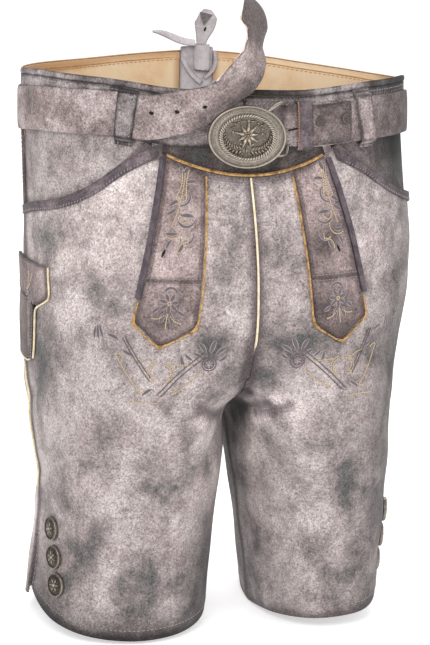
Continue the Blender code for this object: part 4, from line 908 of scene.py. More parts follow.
@dataclass
class Copy:
    """A smoothed copy of one part node.

    The part's own mesh is never changed: its copy is merged, squared up, smoothed and creased.
    """

    node: str
    surface: Optional[Surface]
    levels: int = 2
    crease: float = 0.55
    sharp: float = 46.0
    edge_reach: float = 0.011
    rims: list[Rim] = field(default_factory=list)

    @property
    def mesh(self) -> bpy.types.Mesh:
        """The copy's mesh."""
        return self.piece.data

    @property
    def points(self) -> np.ndarray:
        """The positions of its vertices, one row each."""
        return coords(self.piece.data)

    def build(self) -> "Copy":
        """Make the copy's mesh.

        Returns:
            This copy, with its object, rims and tree.
        """
        self.piece = bpy.data.objects.new(f"{self.node}_piece", frame["nodes"][self.node].data.copy())
        bpy.context.scene.collection.objects.link(self.piece)
        select_only(self.piece)
        bpy.ops.mesh.customdata_custom_splitnormals_clear()
        with editing(self.piece):
            bpy.ops.mesh.remove_doubles(threshold=0.00002)
            limits = {"face_threshold": math.radians(50), "shape_threshold": math.radians(70)}
            bpy.ops.mesh.tris_convert_to_quads(**limits)
            bpy.ops.mesh.normals_make_consistent(inside=False)
        border = self._mark_rims()
        modifier = self.piece.modifiers.new("smooth", "SUBSURF")
        modifier.levels = modifier.render_levels = self.levels
        modifier.boundary_smooth = "PRESERVE_CORNERS"
        apply_modifiers(self.piece)
        self._write_attributes(border)
        if self.surface is not None:
            set_coords(self.mesh, self.surface.crease(self.points))
        smooth_faces(self.piece, 50)
        self.tree = BVHTree.FromObject(self.piece, bpy.context.evaluated_depsgraph_get())
        return self

    def settled(self, *finishes: Finish) -> "Copy":
        """Build the copy and settle it in its finishes.

        Args:
            *finishes: Outer finish, then the inner one if it differs.

        Returns:
            This copy.
        """
        self.build()
        if len(finishes) > 1:
            self.inside(1)
        settle(self.piece, *finishes, nodes=[self.node])
        return self

    def _mark_rims(self) -> list[Vector]:
        """Sharpen the cage's rims and keep those of its outer face.

        Returns:
            Points along every sharp edge.
        """
        data = bmesh.new()
        data.from_mesh(self.mesh)
        layer = data.edges.layers.float.get("crease_edge") or data.edges.layers.float.new("crease_edge")
        border: list[Vector] = []
        for edge in data.edges:
            if len(edge.link_faces) != 2 or edge.calc_face_angle(0.0) < math.radians(self.sharp):
                continue
            edge[layer] = self.crease
            ends = [vertex.co.copy() for vertex in edge.verts]
            steps = max(int((ends[1] - ends[0]).length / 0.002), 1)
            border += [ends[0].lerp(ends[1], k / steps) for k in range(steps + 1)]
            middle = (ends[0] + ends[1]) / 2
            out = outward_at(middle)
            face = max(edge.link_faces, key=lambda item: item.normal.dot(out))
            if face.normal.dot(out) < 0.6:
                continue
            rim = Rim(*ends, face.normal.copy(), face.calc_center_median() - middle)
            rim.inward = (rim.inward - rim.run * rim.inward.dot(rim.run)).normalized()
            self.rims.append(rim)
        data.to_mesh(self.mesh)
        data.free()
        return border

    def _write_attributes(self, border: Sequence[Vector]) -> None:
        """Write how near each vertex is to a rim, and the patches and tone, which hold the wash and painted
        light and shade.

        Args:
            border: Points along every sharp edge.
        """
        points = self.points
        tree = KDTree(max(len(border), 1))
        for k, place in enumerate(border):
            tree.insert(place, k)
        tree.balance()
        away = np.array([tree.find(point)[2] if border else 1.0 for point in points])
        paint(self.mesh, "edge", np.clip(1 - away / self.edge_reach, 0, 1))
        paint(self.mesh, "patch", self.surface.patch(points) if self.surface else 0 * away)
        paint(self.mesh, "tone", self.surface.tone(points) if self.surface else 0 * away)

    def shade(self, amount: Union[float, np.ndarray]) -> None:
        """Paint the copy's tone darker by an amount at each vertex, or lighter below zero: painted shade in
        some places, the leather's darker tone in others.
        """
        values = np.empty(len(self.mesh.vertices), np.float32)
        self.mesh.attributes["tone"].data.foreach_get("value", values)
        paint(self.mesh, "tone", values + amount)

    def inside(self, slot: int) -> None:
        """Give faces that look into the trousers another material slot."""
        centres = np.array([polygon.center for polygon in self.mesh.polygons])
        normals = np.array([polygon.normal for polygon in self.mesh.polygons])
        look = (outward(centres) * normals).sum(axis=1)
        self.mesh.polygons.foreach_set("material_index", np.where(look < -0.25, slot, 0).astype(np.int32))
        self.mesh.update()

    def line(self, keep: Callable[[Rim], bool], inset: float, trim: float = 0.0) -> list[Path]:
        """Lines a distance inside the piece's rims.

        Args:
            keep: Chooses rims.
            inset: Distance from the rim.
            trim: Length cut from each end of a line.

        Returns:
            Each line's points on the surface and outward directions.
        """
        lines = []
        for chain in chained([rim for rim in self.rims if keep(rim)]):
            marks = []
            for rim, flipped in chain:
                ends = (rim.end, rim.start) if flipped else (rim.start, rim.end)
                marks += [(end + rim.inward * inset, rim.normal) for end in ends]
            merged = [marks[0]]
            for (one, lean), (two, other) in zip(marks[1::2], marks[2::2]):
                merged.append(((one + two) / 2, (lean + other).normalized()))
            merged.append(marks[-1])
            lines.append(trimmed(self.snap(resampled(merged, 0.002)), trim))
        return [line for line in lines if len(line) > 2]

    def snap(self, path: Path) -> Path:
        """A path moved by the creases and onto this piece's outer surface.

        Args:
            path: Points with their outward directions.

        Returns:
            The moved path.
        """
        points = np.array([point for point, _ in path])
        if self.surface is not None:
            points = self.surface.crease(points)
        found = []
        for point, (_, normal) in zip(points, path):
            spot, face_normal, _, _ = self.tree.ray_cast(Vector(point) + normal * 0.004, -normal, 0.010)
            if spot is None:
                spot, face_normal = Vector(point), normal
            found.append((spot, face_normal))
        return found


def chained(rims: list[Rim]) -> list[list[tuple[Rim, bool]]]:
    """Join rims end to end.

    Args:
        rims: Edges in any order.

    Returns:
        Chains of rims, each with whether it runs backwards.
    """
    def key(point: Vector) -> tuple[int, int, int]:
        """A point rounded so that shared ends match."""
        return tuple(round(c * 20000) for c in point)

    ends: dict[tuple, list[int]] = {}
    for k, rim in enumerate(rims):
        ends.setdefault(key(rim.start), []).append(k)
        ends.setdefault(key(rim.end), []).append(k)
    left = set(range(len(rims)))
    chains = []

    def waiting(point: Vector) -> list[int]:
        """The rims not yet used that end at a point."""
        return [k for k in ends[key(point)] if k in left]

    while left:
        single = [k for k in left if min(len(waiting(rims[k].start)), len(waiting(rims[k].end))) == 1]
        here = min(single or left)
        left.discard(here)
        flipped = not waiting(rims[here].end)
        chain = [(rims[here], flipped)]
        tip = rims[here].start if flipped else rims[here].end
        while following := waiting(tip):
            here = following[0]
            left.discard(here)
            flipped = key(rims[here].end) == key(tip)
            chain.append((rims[here], flipped))
            tip = rims[here].start if flipped else rims[here].end
        chains.append(chain)
    return chains


def resampled(path: Path, step: float) -> Path:
    """The path's points at even distances.

    Args:
        path: Points with their outward directions.
        step: About how far apart the new points are.

    Returns:
        The new path.
    """
    points = np.array([point for point, _ in path])
    normals = np.array([normal for _, normal in path])
    lengths = np.concatenate([[0.0], np.cumsum(np.linalg.norm(np.diff(points, axis=0), axis=1))])
    count = max(int(round(lengths[-1] / step)), 2)
    at = np.linspace(0, lengths[-1], count + 1)
    columns = [np.interp(at, lengths, points[:, k]) for k in range(3)]
    leans = [np.interp(at, lengths, normals[:, k]) for k in range(3)]
    return [(Vector(p), Vector(n).normalized()) for p, n in zip(zip(*columns), zip(*leans))]


def trimmed(path: Path, trim: float) -> Path:
    """The path without a length at each end."""
    if trim <= 0:
        return path
    lengths = [0.0]
    for (a, _), (b, _) in zip(path, path[1:]):
        lengths.append(lengths[-1] + (b - a).length)
    return [mark for mark, at in zip(path, lengths) if trim <= at <= lengths[-1] - trim]


# ---------------------------------------------------------------- stitches and strokes
def placed(template: tuple[np.ndarray, list], spots: Sequence[tuple[Vector, Vector, Vector, tuple]]) -> tuple:
    """Copies of a small shape, each at a spot on a surface.

    Args:
        template: Points and faces of the shape in a unit frame (along, across, out).
        spots: For each copy its middle, direction, outward normal and three sizes.

    Returns:
        All points and all faces.
    """
    shape, faces = template
    points, every = [], []
    for k, (middle, along, normal, sizes) in enumerate(spots):
        along = (along - normal * along.dot(normal)).normalized()
        across = normal.cross(along)
        axes = np.array([along * sizes[0], across * sizes[1], normal * sizes[2]])
        points.append(shape @ axes + np.array(middle))
        every += [[corner + k * len(shape) for corner in face] for face in faces]
    return np.concatenate(points), every


def taken(piece: bpy.types.Object) -> Template:
    """A piece's points and faces; the piece itself is removed."""
    shape = coords(piece.data), [list(polygon.vertices) for polygon in piece.data.polygons]
    bpy.data.objects.remove(piece)
    return shape


@cache
def stitch_shape() -> Template:
    """One stitch in a unit frame: a rounded bar along X."""
    bpy.ops.mesh.primitive_cylinder_add(vertices=6, radius=1.0, depth=1.2, end_fill_type="NGON")
    bar = bpy.context.active_object
    with editing(bar, lambda face: len(face.vertices) == 6):
        bpy.ops.mesh.extrude_region_shrink_fatten(TRANSFORM_OT_shrink_fatten={"value": 0.4})
        bpy.ops.transform.resize(value=(0.45, 0.45, 1.0))
        bpy.ops.mesh.select_all(action="SELECT")
        bpy.ops.transform.rotate(value=math.radians(90), orient_axis="Y", center_override=(0, 0, 0))
    shape, faces = taken(bar)
    shape[:, 0] /= np.abs(shape[:, 0]).max()
    return shape, faces


def stitches(name: str, paths: Iterable[Path], finish: Finish, length: float = 2.4, gap: float = 1.2,
             width: float = 0.6, slant: float = 0.0) -> None:
    """Lay rows of stitches; every stitch is its own small rounded bar of thread.

    Args:
        name: Name of the piece.
        paths: Lines on the surface; nothing is made if they are too short.
        finish: The thread.
        length: Length of a stitch in millimetres.
        gap: Distance between stitches in millimetres.
        width: Width of the thread in millimetres.
        slant: Turn of each stitch from the line, in degrees.
    """
    spots = []
    sizes = (length * MM / 2, width * MM / 2, width * MM * 0.42)
    for path in paths:
        even = resampled(path, (length + gap) * MM)
        for (here, normal), (after, _) in zip(even, even[1:]):
            run = after - here
            if run.length < 1e-6:
                continue
            along = Matrix.Rotation(math.radians(slant), 3, normal) @ run.normalized()
            spots.append(((here + after) / 2 + normal * width * MM * 0.16, along, normal, sizes))
    if spots:
        piece = new_mesh(name, *placed(stitch_shape(), spots))
        piece.data.shade_smooth()
        settle(piece, finish)


@dataclass(frozen=True)
class Stroke:
    """One mark of embroidery, in millimetres: it starts somewhere, heads off and turns."""

    x: float
    y: float
    heading: float
    turn: float
    length: float
    width: float = 0.9
    grow: float = 1.0
    satin: bool = False

    def points(self) -> list[tuple[float, float]]:
        """The mark's line in its pattern's plane."""
        count = max(int(self.length / 0.8), 5)
        x, y, line = self.x, self.y, [(self.x, self.y)]
        for k in range(count):
            angle = self.heading + self.turn * ((k + 0.5) / count) ** self.grow
            ahead, up = polar(angle, self.length / count)
            x, y = x + ahead, y + up
            line.append((x, y))
        return line


def leaf(x: float, y: float, heading: float, length: float, width: float, turn: float = 25.0) -> Stroke:
    """A filled leaf."""
    return Stroke(x, y, heading, turn, length, width, 1.0, True)


def flower(x: float, y: float, radius: float, petals: int, start: float = 0.0) -> list[Stroke]:
    """Filled petals round a ring."""
    strokes = []
    for k in range(petals):
        angle = start + 360 * k / petals
        across, up = polar(angle, radius * 0.30)
        strokes.append(leaf(x + across, y + up, angle, radius * 0.72, radius * 0.40, 6))
    return strokes


def plain(path: Path, width: float) -> tuple[Stroke, Path]:
    """A line as a mark of one width in millimetres."""
    return Stroke(0, 0, 0, 0, 1, width), path


@dataclass
class Pattern:
    """Strokes laid on the surface about one place, turned and mirrored."""

    surface: Surface
    trees: Sequence[BVHTree]
    across: float
    z: float
    turn: float = 0.0
    mirror: float = 1.0
    side: Side = Side.FRONT

    def lay(self, strokes: Iterable[Stroke]) -> list[tuple[Stroke, Path]]:
        """Project strokes on the surface.

        Args:
            strokes: The marks.

        Returns:
            Each mark with its path.
        """
        middle, normal = self.surface.look(self.side, self.across, self.z)
        up = (Vector((0, 0, 1)) - normal * normal.z).normalized()
        right = up.cross(normal)
        c, s = polar(self.turn)
        laid = []
        for stroke in strokes:
            path = []
            for x, y in stroke.points():
                x *= self.mirror
                a, b = (x * c - y * s) * MM, (x * s + y * c) * MM
                start = middle + right * a + up * b + normal * 0.030
                hits = [tree.ray_cast(start, -normal, 0.080) for tree in self.trees]
                hits = [hit for hit in hits if hit[0] is not None]
                if hits:
                    spot, face_normal, _, _ = min(hits, key=lambda hit: hit[3])
                    path.append((spot, face_normal))
            if len(path) > 3:
                laid.append((stroke, path))
        return laid


def ribbons(name: str, laid: Iterable[tuple[Stroke, Path]], finish: Finish, lift: float = 0.35) -> None:
    """Lay rounded ridges of thread along marks; satin marks are wide in the middle.

    Args:
        name: Name of the piece.
        laid: Marks with their paths; nothing is made if there are none.
        finish: The thread.
        lift: Height in millimetres of a ridge a millimetre wide.
    """
    section = ((1, -0.25), (0.82, 0.55), (0.35, 1.0), (-0.35, 1.0), (-0.82, 0.55), (-1, -0.25))
    points, faces = [], []
    for stroke, path in laid:
        even = resampled(path, 0.0009 if stroke.satin else 0.0012)
        last = len(even) - 1
        faces += tube_faces(len(points), len(even), len(section))
        for k, (here, normal) in enumerate(even):
            run = (even[min(k + 1, last)][0] - even[max(k - 1, 0)][0]).normalized()
            beside = normal.cross(run).normalized()
            way = k / last
            full = min(1.0, 6 * way + 0.2, 6 * (1 - way) + 0.2)
            if stroke.satin:
                full = math.sin(math.pi * (0.04 + 0.92 * way)) ** 0.8
            half = stroke.width * MM / 2 * full
            high = (lift * min(stroke.width, 1.6) * full + 0.08) * MM
            points += [here + beside * half * a + normal * high * b for a, b in section]
    if points:
        settle(tube_mesh(name, points, faces), finish)


def inner_face(line: Path, tree: BVHTree) -> Path:
    """A line on a sheet's outer face, carried through to its inner face."""
    hits = [(tree.ray_cast(spot - normal * 0.015, normal, 0.030)[0], -normal) for spot, normal in line]
    return [(spot, normal) for spot, normal in hits if spot is not None]


# the seam under the crotch, from the front round to the back, in millimetres
CROTCH = (
    (0.9, -133.4, -185.0), (-0.3, -124.2, -207.0), (-1.2, -108.2, -218.6), (-2.2, -79.5, -230.9),
    (-2.5, -37.2, -243.4), (-2.0, -14.0, -243.6), (-2.0, 15.5, -243.5), (-2.0, 51.0, -230.7),
    (-1.5, 80.4, -218.7), (-0.3, 99.5, -206.9), (1.2, 113.4, -188.8), (2.7, 117.0, -171.6),
)

# ---------------------------------------------------------------- the trousers
@dataclass(frozen=True)
class SheetCut:
    """A leather sheet's cut before it was sewn: its flat size in millimetres, and its area's share of it."""

    width: float
    length: float
    share: float
    hangs_from: tuple[str, ...] = ()

    def declare(self, piece: bpy.types.Object) -> None:
        """Do nothing: the cut is not passed to the frame."""


CUTS = {
    "front_panel": SheetCut(270, 430, 0.86, ("waistband_front_r",)),
    "back_panel": SheetCut(290, 450, 0.84, ("waistband_front_r",)),
    "hip_facing": SheetCut(170, 85, 0.70), "underflap": SheetCut(160, 55, 0.90),
    "waistband_front": SheetCut(215, 45, 1.0), "waistband_back": SheetCut(210, 48, 1.0),
    "lining": SheetCut(190, 60, 1.0), "flap_band": SheetCut(50, 110, 0.85),
    "band_tip": SheetCut(55, 56, 0.80), "pocket_binding": SheetCut(150, 12, 1.0),
    "knife_pocket": SheetCut(52, 65, 0.95), "knife_cuff": SheetCut(80, 34, 0.95),
    "belt_loop_front": SheetCut(21, 54, 0.95), "belt_loop_back": SheetCut(26, 60, 0.95),
    "lace_gusset": SheetCut(38, 80, 1.0),
}


def ease_corners(piece: bpy.types.Object, spread: float) -> None:
    """Turn the sharp corners of a piping that runs downwards into curves.

    Args:
        piece: The piping.
        spread: How far a corner is spread up and down.
    """
    mesh = piece.data

    def is_long(edge: bpy.types.MeshEdge) -> bool:
        """Whether an edge needs more points to bend."""
        a, b = (mesh.vertices[index].co for index in edge.vertices)
        return (a - b).length > 0.0025

    with editing(piece, is_long, "EDGE"):
        bpy.ops.mesh.subdivide(number_cuts=12, smoothness=0)
        bpy.ops.mesh.select_mode(type="VERT")
    points = coords(mesh)
    ends = points[[tuple(edge.vertices) for edge in mesh.edges]]
    step = 0.00025
    heights = np.arange(points[:, 2].min() + 0.0004, points[:, 2].max() - 0.0004, step)
    middles = []
    for height in heights:
        a, b = ends[:, 0], ends[:, 1]
        across = (a[:, 2] - height) * (b[:, 2] - height) < 0
        way = ((height - a[across, 2]) / (b[across, 2] - a[across, 2]))[:, None]
        middles.append((a[across] + (b[across] - a[across]) * way)[:, :2].mean(axis=0))
    middles = np.array(middles)
    reach = 24
    weights = bell(np.arange(-reach, reach + 1) * step, 0, spread)
    low = middles[0] + (middles[0] - middles[8]) / 8 * np.arange(reach, 0, -1)[:, None]
    high = middles[-1] + (middles[-1] - middles[-9]) / 8 * np.arange(1, reach + 1)[:, None]
    long = np.vstack([low, middles, high])
    for axis in (0, 1):
        soft = np.convolve(long[:, axis], weights / weights.sum(), mode="valid")
        points[:, axis] += np.interp(points[:, 2], heights, soft - middles[:, axis])
    set_coords(mesh, points)


@dataclass(frozen=True)
class Seam:
    """One row of stitches on both sides of the trousers; sizes in millimetres."""

    names: dict[str, str]
    keep: Callable[[Rim, float], bool]
    inset: float
    length: float = 2.4
    gap: float = 1.2
    width: float = 0.65
    slant: float = 0.0
    trim: float = 0.0
    thread: Finish = Finish.THREAD_GREY

    def sew(self, copies: dict[str, Copy], tag: str, side: float) -> None:
        """Sew the row on one side.

        Args:
            copies: The leather pieces by name.
            tag: The side's letter.
            side: The side's sign along X.
        """
        for name, leather in self.names.items():
            copy = copies[f"{leather}_{tag}"]
            lines = copy.line(lambda rim: self.keep(rim, side), self.inset * MM, self.trim * MM)
            stitches(f"{name}_{tag}", lines, self.thread, self.length, self.gap, self.width, self.slant)


def crosses(rim: Rim, side: float) -> bool:
    """Whether a rim is where a band's upper piece meets its pointed one."""
    return rim.level and -0.130 < rim.middle.z < -0.112


# each row's pieces of stitches and the leather they lie on, and the rims that it follows
SEAMS = (
    Seam({"hem_stitches_front": "front_panel", "hem_stitches_back": "back_panel"},
         lambda rim, side: rim.level and rim.middle.z < -0.395,
         9.5, 2.6, 1.4, 0.7, trim=4),
    Seam({"slit_stitches_front": "front_panel", "slit_stitches_back": "back_panel"},
         lambda rim, side: not rim.level and rim.middle.z < -0.335 and rim.middle.x * side > 0.12,
         5.5, 2.6, 1.4, 0.7),
    Seam({"side_stitches": "back_panel"},
         lambda rim, side: not rim.level and rim.middle.z > -0.325 and rim.middle.x * side > 0.12,
         4.0, 2.4, 1.4, 0.6),
    Seam({"centre_stitches_back": "back_panel"},
         lambda rim, side: not rim.level and rim.middle.z > -0.168 and abs(rim.middle.x) < 0.012,
         3.5, 2.4, 1.4, 0.6),
    Seam({"centre_stitches_front": "front_panel"},
         lambda rim, side: not rim.level and rim.middle.z > -0.168 and abs(rim.middle.x) < 0.012,
         5.0, 2.4, 1.6, 0.55),
    Seam({"flap_stitches": "front_panel"},
         lambda rim, side: rim.level and rim.middle.z > -0.042 and abs(rim.middle.x) < 0.090,
         4.5, 2.2, 1.2, 0.6, trim=2, thread=Finish.THREAD_DARK),
    Seam({"binding_stitches_low": "pocket_binding"}, lambda rim, side: rim.inward.z > 0.25,
         1.8, 2.0, 1.1, 0.65, 58),
    Seam({"binding_stitches_high": "pocket_binding"}, lambda rim, side: rim.inward.z < -0.25,
         2.4, 2.2, 1.2, 0.6, thread=Finish.THREAD_DARK),
    Seam({"waist_stitches_front": "waistband_front"}, lambda rim, side: rim.inward.z < -0.5, 3.0),
    Seam({"waist_stitches_row": "waistband_front"}, lambda rim, side: rim.inward.z < -0.5, 6.2, slant=60),
    Seam({"waist_stitches_back": "waistband_back"}, lambda rim, side: rim.inward.z < -0.5, 3.5),
    Seam({"loop_stitches_front": "belt_loop_front", "loop_stitches_back": "belt_loop_back"},
         lambda rim, side: not rim.level and abs(rim.middle.z - 0.004) < 0.020,
         2.8, 2.2, 1.2, 0.6),
    Seam({"flap_band_stitches": "flap_band"},
         lambda rim, side: not crosses(rim, side) and rim.middle.z < -0.030,
         3.0, 2.0, 1.0, 0.5, thread=Finish.THREAD_DARK),
    Seam({"band_tip_stitches": "band_tip"},
         lambda rim, side: not crosses(rim, side) and rim.middle.z < -0.030,
         3.4, 2.0, 1.0, 0.5, thread=Finish.THREAD_DARK),
    Seam({"flap_band_cross": "flap_band", "band_tip_cross": "band_tip"}, crosses,
         2.2, 2.0, 1.0, 0.5),
)


@dataclass
class Trousers:
    """The body leather, with everything sewn to it."""

    surface: Surface
    copies: dict[str, Copy] = field(default_factory=dict)

    @staticmethod
    def open_slit(copy: Copy, front: bool) -> None:
        """Draw the two edges of the right leg's slit apart towards the hem.

        Args:
            copy: The front or the back panel's copy.
            front: Whether it is the front panel.
        """
        points = copy.points
        x, y, z = points.T
        outer = -0.13
        low = rise(z, -0.322, -0.407) * (x < outer)
        if front:
            points[:, 0] += 0.0005 * low * rise(y, -0.034, -0.020)
        else:
            points[:, 0] -= 0.0030 * low * rise(y, 0.050, 0.010)
            copy.shade(-2.4 * rise(z, -0.318, -0.338) * (x < outer) * rise(y, 0.022, 0.007))
        set_coords(copy.mesh, points)

    def carry(self, node: str, *finishes: Finish, levels: int = 2, creased: bool = True,
              reach: float = 0.011) -> Copy:
        """Args:
            node: The part node.
            *finishes: Outer finish, then the inner one if it differs.
            levels: Smoothing levels.
            creased: Whether the creases move it.
            reach: Width of its darker edge in metres.

        Returns:
            The copy.
        """
        copy = Copy(node, self.surface if creased else None, levels, edge_reach=reach).settled(*finishes)
        cut = CUTS.get(node.removesuffix("_r").removesuffix("_l"))
        if cut:
            cut.declare(copy.piece)
        self.copies[node] = copy
        return copy

    def build(self) -> None:
        """Build the leather pieces, their piping and bindings."""
        for tag in "rl":
            self._panels(tag)
            self._waist(tag)
            self._trim(tag)
        self.carry("underflap", Finish.DARK).shade(0.1)
        for name, dark in (("knife_pocket", 0.5), ("knife_cuff", 0.2)):
            knife = self.carry(name, Finish.BAND, reach=0.006)
            knife.shade(dark + 0.9 * bell(knife.points[:, 1], -0.024, 0.013))
        self.carry("knife_piping", Finish.SEAM_PIPING, levels=1)
        self.carry("flap_piping", Finish.PIPING, levels=1)
        spots = self.surface.crease(np.array(CROTCH) * MM)
        path = [(Vector(spot), Vector((0.0, spot[1], -0.12)).normalized()) for spot in spots]
        ribbons("crotch_tape", [plain(path, 9.0)], Finish.DARK, 0.30)
        # the centre seam's foot turns in between the legs
        seam = self.carry("centre_piping", Finish.SEAM_PIPING, levels=1)
        points = seam.points
        z = points[:, 2]
        points[:, 1] += 0.0042 * rise(z, -0.176, -0.186) + 0.0140 * rise(z, -0.186, -0.196)
        set_coords(seam.mesh, points)

    def _panels(self, tag: str) -> None:
        """One side's front, back and hip facing.

        Args:
            tag: The side's letter.
        """
        right = tag == "r"
        for name in ("front_panel", "back_panel"):
            copy = self.carry(f"{name}_{tag}", Finish.SUEDE, Finish.INSIDE, levels=3, reach=0.015)
            if right:
                self.open_slit(copy, name == "front_panel")
        facing = self.carry(f"hip_facing_{tag}", Finish.SUEDE)
        _, y, z = facing.points.T
        # darker in front; along its upper part, painted shadow under the belt
        facing.shade(np.where(y < 0.02, 1.25 if right else 1.8, 0.6))
        facing.shade((0.3 if right else 0.8) * (y < 0.02) * rise(z, -0.043, -0.029))

    def _waist(self, tag: str) -> None:
        """One side's waistband and lining.

        Args:
            tag: The side's letter.
        """
        waist = self.carry(f"waistband_front_{tag}", Finish.LOOP, reach=0.004)
        waist.shade(1.7 * rise(waist.points[:, 0], 0.098, 0.108))
        swell(waist.mesh, 0.00018)
        behind = self.carry(f"waistband_back_{tag}", Finish.BAND, Finish.LINING)
        for polygon in behind.mesh.polygons:
            if polygon.normal.z > 0.2:
                polygon.material_index = 1
        lining = self.carry(f"lining_{tag}", Finish.LINING)
        x = lining.points[:, 0]
        # browner towards the right (-X) and at both ends; painted light towards the left (+X), where the
        # lining lies in shade
        aged = 0.55 * rise(x, -0.070, -0.130) - 0.3 * rise(x, 0.020, 0.070) + rise(np.abs(x), 0.148, 0.168)
        paint(lining.mesh, "patch", aged)

    def _trim(self, tag: str) -> None:
        """One side's bands, pocket binding, pipings and belt loops.

        Args:
            tag: The side's letter.
        """
        right = tag == "r"
        for name in ("flap_band", "band_tip"):
            band = self.carry(f"{name}_{tag}", Finish.BAND, reach=0.007)
            marks = [(np.array(place) * MM, reach * MM, dark) for *place, reach, dark in BAND_CLOUD[tag]]
            band.shade(clouds(band.points[:, (0, 2)], marks))
        # the binding's inner end runs on down the pocket's slant
        binding = self.carry(f"pocket_binding_{tag}", Finish.BINDING, reach=0.003)
        points = binding.points
        way = rise(np.abs(points[:, 0]), 0.112, 0.086) ** 1.5 * (0.0125 if right else 0.0075)
        set_coords(binding.mesh, points + way[:, None] * np.array([1.0 if right else -1.0, -0.30, 0.52]))
        rim = self.carry(f"rim_edge_{tag}", Finish.LOOP, levels=1, reach=0.0016)
        x = rim.points[:, 0]
        rim.shade(2.2 * np.exp(-(((x - 0.016) / 0.044) ** 6)) + 2.0 * rise(x, 0.098, 0.108) + 0.2)
        swell(rim.mesh, 0.00035)
        swell(self.carry(f"band_piping_{tag}", Finish.PIPING, levels=1).mesh, -0.00045)
        self.carry(f"band_roll_{tag}", Finish.ROLL, levels=1)
        self.carry(f"side_piping_{tag}", Finish.SEAM_PIPING, levels=1)
        for face in ("front", "back"):
            finish = Finish.LOOP if right else Finish.BELT
            loop = self.carry(f"belt_loop_{face}_{tag}", finish, levels=3, creased=False, reach=0.004)
            loop.shade(1.5 + rise(loop.points[:, 0], -0.0935, -0.0875) if right else 0.3)

    def sew(self) -> None:
        """Lay the rows of stitches along the seams and edges."""
        for tag, side in (("r", -1), ("l", 1)):
            for seam in SEAMS:
                seam.sew(self.copies, tag, side)
            inner = self.copies[f"lining_{tag}"]
            rows = [inner.line(lambda rim: rim.inward.z < -0.5, inset, 0.002) for inset in (0.0048, 0.0066)]
            tape, row = ([inner_face(line, inner.tree) for line in lines] for lines in rows)
            ribbons(f"lining_seam_{tag}", [plain(line, 1.1) for line in tape if line], Finish.TAPE, 0.15)
            stitches(f"lining_stitches_{tag}", [line for line in row if line], Finish.TAPE, 2.6, 1.5, 0.65)
        for name, leather in (("cuff_stitches", "knife_cuff"), ("pocket_stitches", "knife_pocket")):
            lines = self.copies[leather].line(lambda rim: True, 0.0032)
            stitches(name, lines, Finish.THREAD_GREY, 2.0, 1.1, 0.6)
        foot = self.copies["knife_pocket"].line(lambda rim: rim.level and rim.middle.z < -0.190, 0.0004)
        ribbons("pocket_foot_piping", [plain(line, 1.5) for line in foot], Finish.SEAM_PIPING, 0.5)

    def shoulder(self) -> None:
        """Slope the knife pocket's cuff into its body and round the body's lower corner."""
        for piece in bpy.data.objects:
            own = piece.type == "MESH" and piece not in list(frame["nodes"].values())
            if not own or not piece.name.startswith(("knife_", "cuff_", "pocket_stitches", "pocket_foot")):
                continue
            points = coords(piece.data)
            if points[:, 0].max() > -0.14:
                continue
            y, z = points[:, 1].copy(), points[:, 2].copy()
            slope = np.interp(y, [-0.062, -0.038, -0.024], [0.0062, -0.0062, 0.0])
            points[:, 2] += slope * bell(z, -0.156, 0.013)
            corner = np.interp(y, [-0.041, -0.026], [1.0, 0.0])
            points[:, 2] += 0.0040 * corner * bell(z, -0.210, 0.009)
            points[:, 1] += 0.0045 * corner * bell(z, -0.213, 0.008)
            set_coords(piece.data, points)
        ease_corners(self.copies["knife_piping"].piece, 0.0036)


# where the bands' pattern is rubbed dark: across, height and reach in millimetres, strength
BAND_CLOUD = {
    "r": (
        (-55, -48, 12, 0.5), (-57, -74, 9, 0.9), (-55, -114, 8, 0.6), (-74, -152, 13, 2), (-59, -137, 9, 1.5),
        (-80, -161, 8, 1),
    ),
    "l": (
        (72, -87, 17, 2.2), (57, -96, 12, 1.9), (58, -35, 15, -0.6), (67, -69, 11, 0.7), (63, -148, 12, 2.1),
        (85, -143, 11, 1.7), (72, -165, 8, 0.7),
    ),
}
BAND_DESIGN = {
    # the upper piece, from its middle
    "upper": (
        Stroke(-1, 38, -84, -20, 46, 0.8), Stroke(-4, 40, -70, -46, 24, 0.8),
        Stroke(2, 41, -100, 30, 22, 0.8), leaf(-1.5, 37, 62, 10, 3.2), leaf(-1.5, 35, 128, 9, 3, -20),
        leaf(1, 30, 30, 9, 2.8, -30), Stroke(1, 24, 20, -215, 24, 1.6, 0.7, True),
        Stroke(1.5, 21, -10, -250, 17, 0.8, 0.8), leaf(-2, 15, 205, 9, 3, 30),
        leaf(-3.5, 8, 240, 9, 2.8, -35), Stroke(2.6, 5, 205, 240, 26, 2, 0.8, True),
        Stroke(1.2, 3.4, 210, 250, 17, 0.9, 0.8), leaf(2, 3, 20, 10, 3.2, -30),
        Stroke(3.5, -6, -60, -150, 20, 0.9, 0.9), leaf(1, -12, 200, 9, 3, -20),
        leaf(-2.5, -18, 235, 8, 2.6, 30), Stroke(4.5, -15, -100, 210, 19, 1.6, 0.7, True),
        Stroke(5.8, -17, -100, 230, 12, 0.8, 0.7), Stroke(3.8, -28, 110, -120, 16, 0.8),
        leaf(5, -27, 60, 8, 2.6),
    ),
    # the pointed piece
    "tip": (
        *flower(0, 4, 8.2, 7, 15), Stroke(1.6, 4, 90, 360, 10, 0.9), leaf(-1.5, -3.5, -120, 11, 3.6, 25),
        leaf(1.5, -3.5, -60, 11, 3.6, -25), Stroke(0, -4.5, -92, 6, 13, 0.9),
        Stroke(-2.5, -6, -120, -70, 12, 0.9), Stroke(2.5, -6, -60, 70, 12, 0.9),
        Stroke(-4.5, 11.5, 110, -190, 17, 1.7, 0.8, True), Stroke(4.5, 11.5, 70, 190, 17, 1.7, 0.8, True),
        leaf(-7.5, -1, 215, 8, 2.8), leaf(7.5, -1, -35, 8, 2.8),
    ),
}
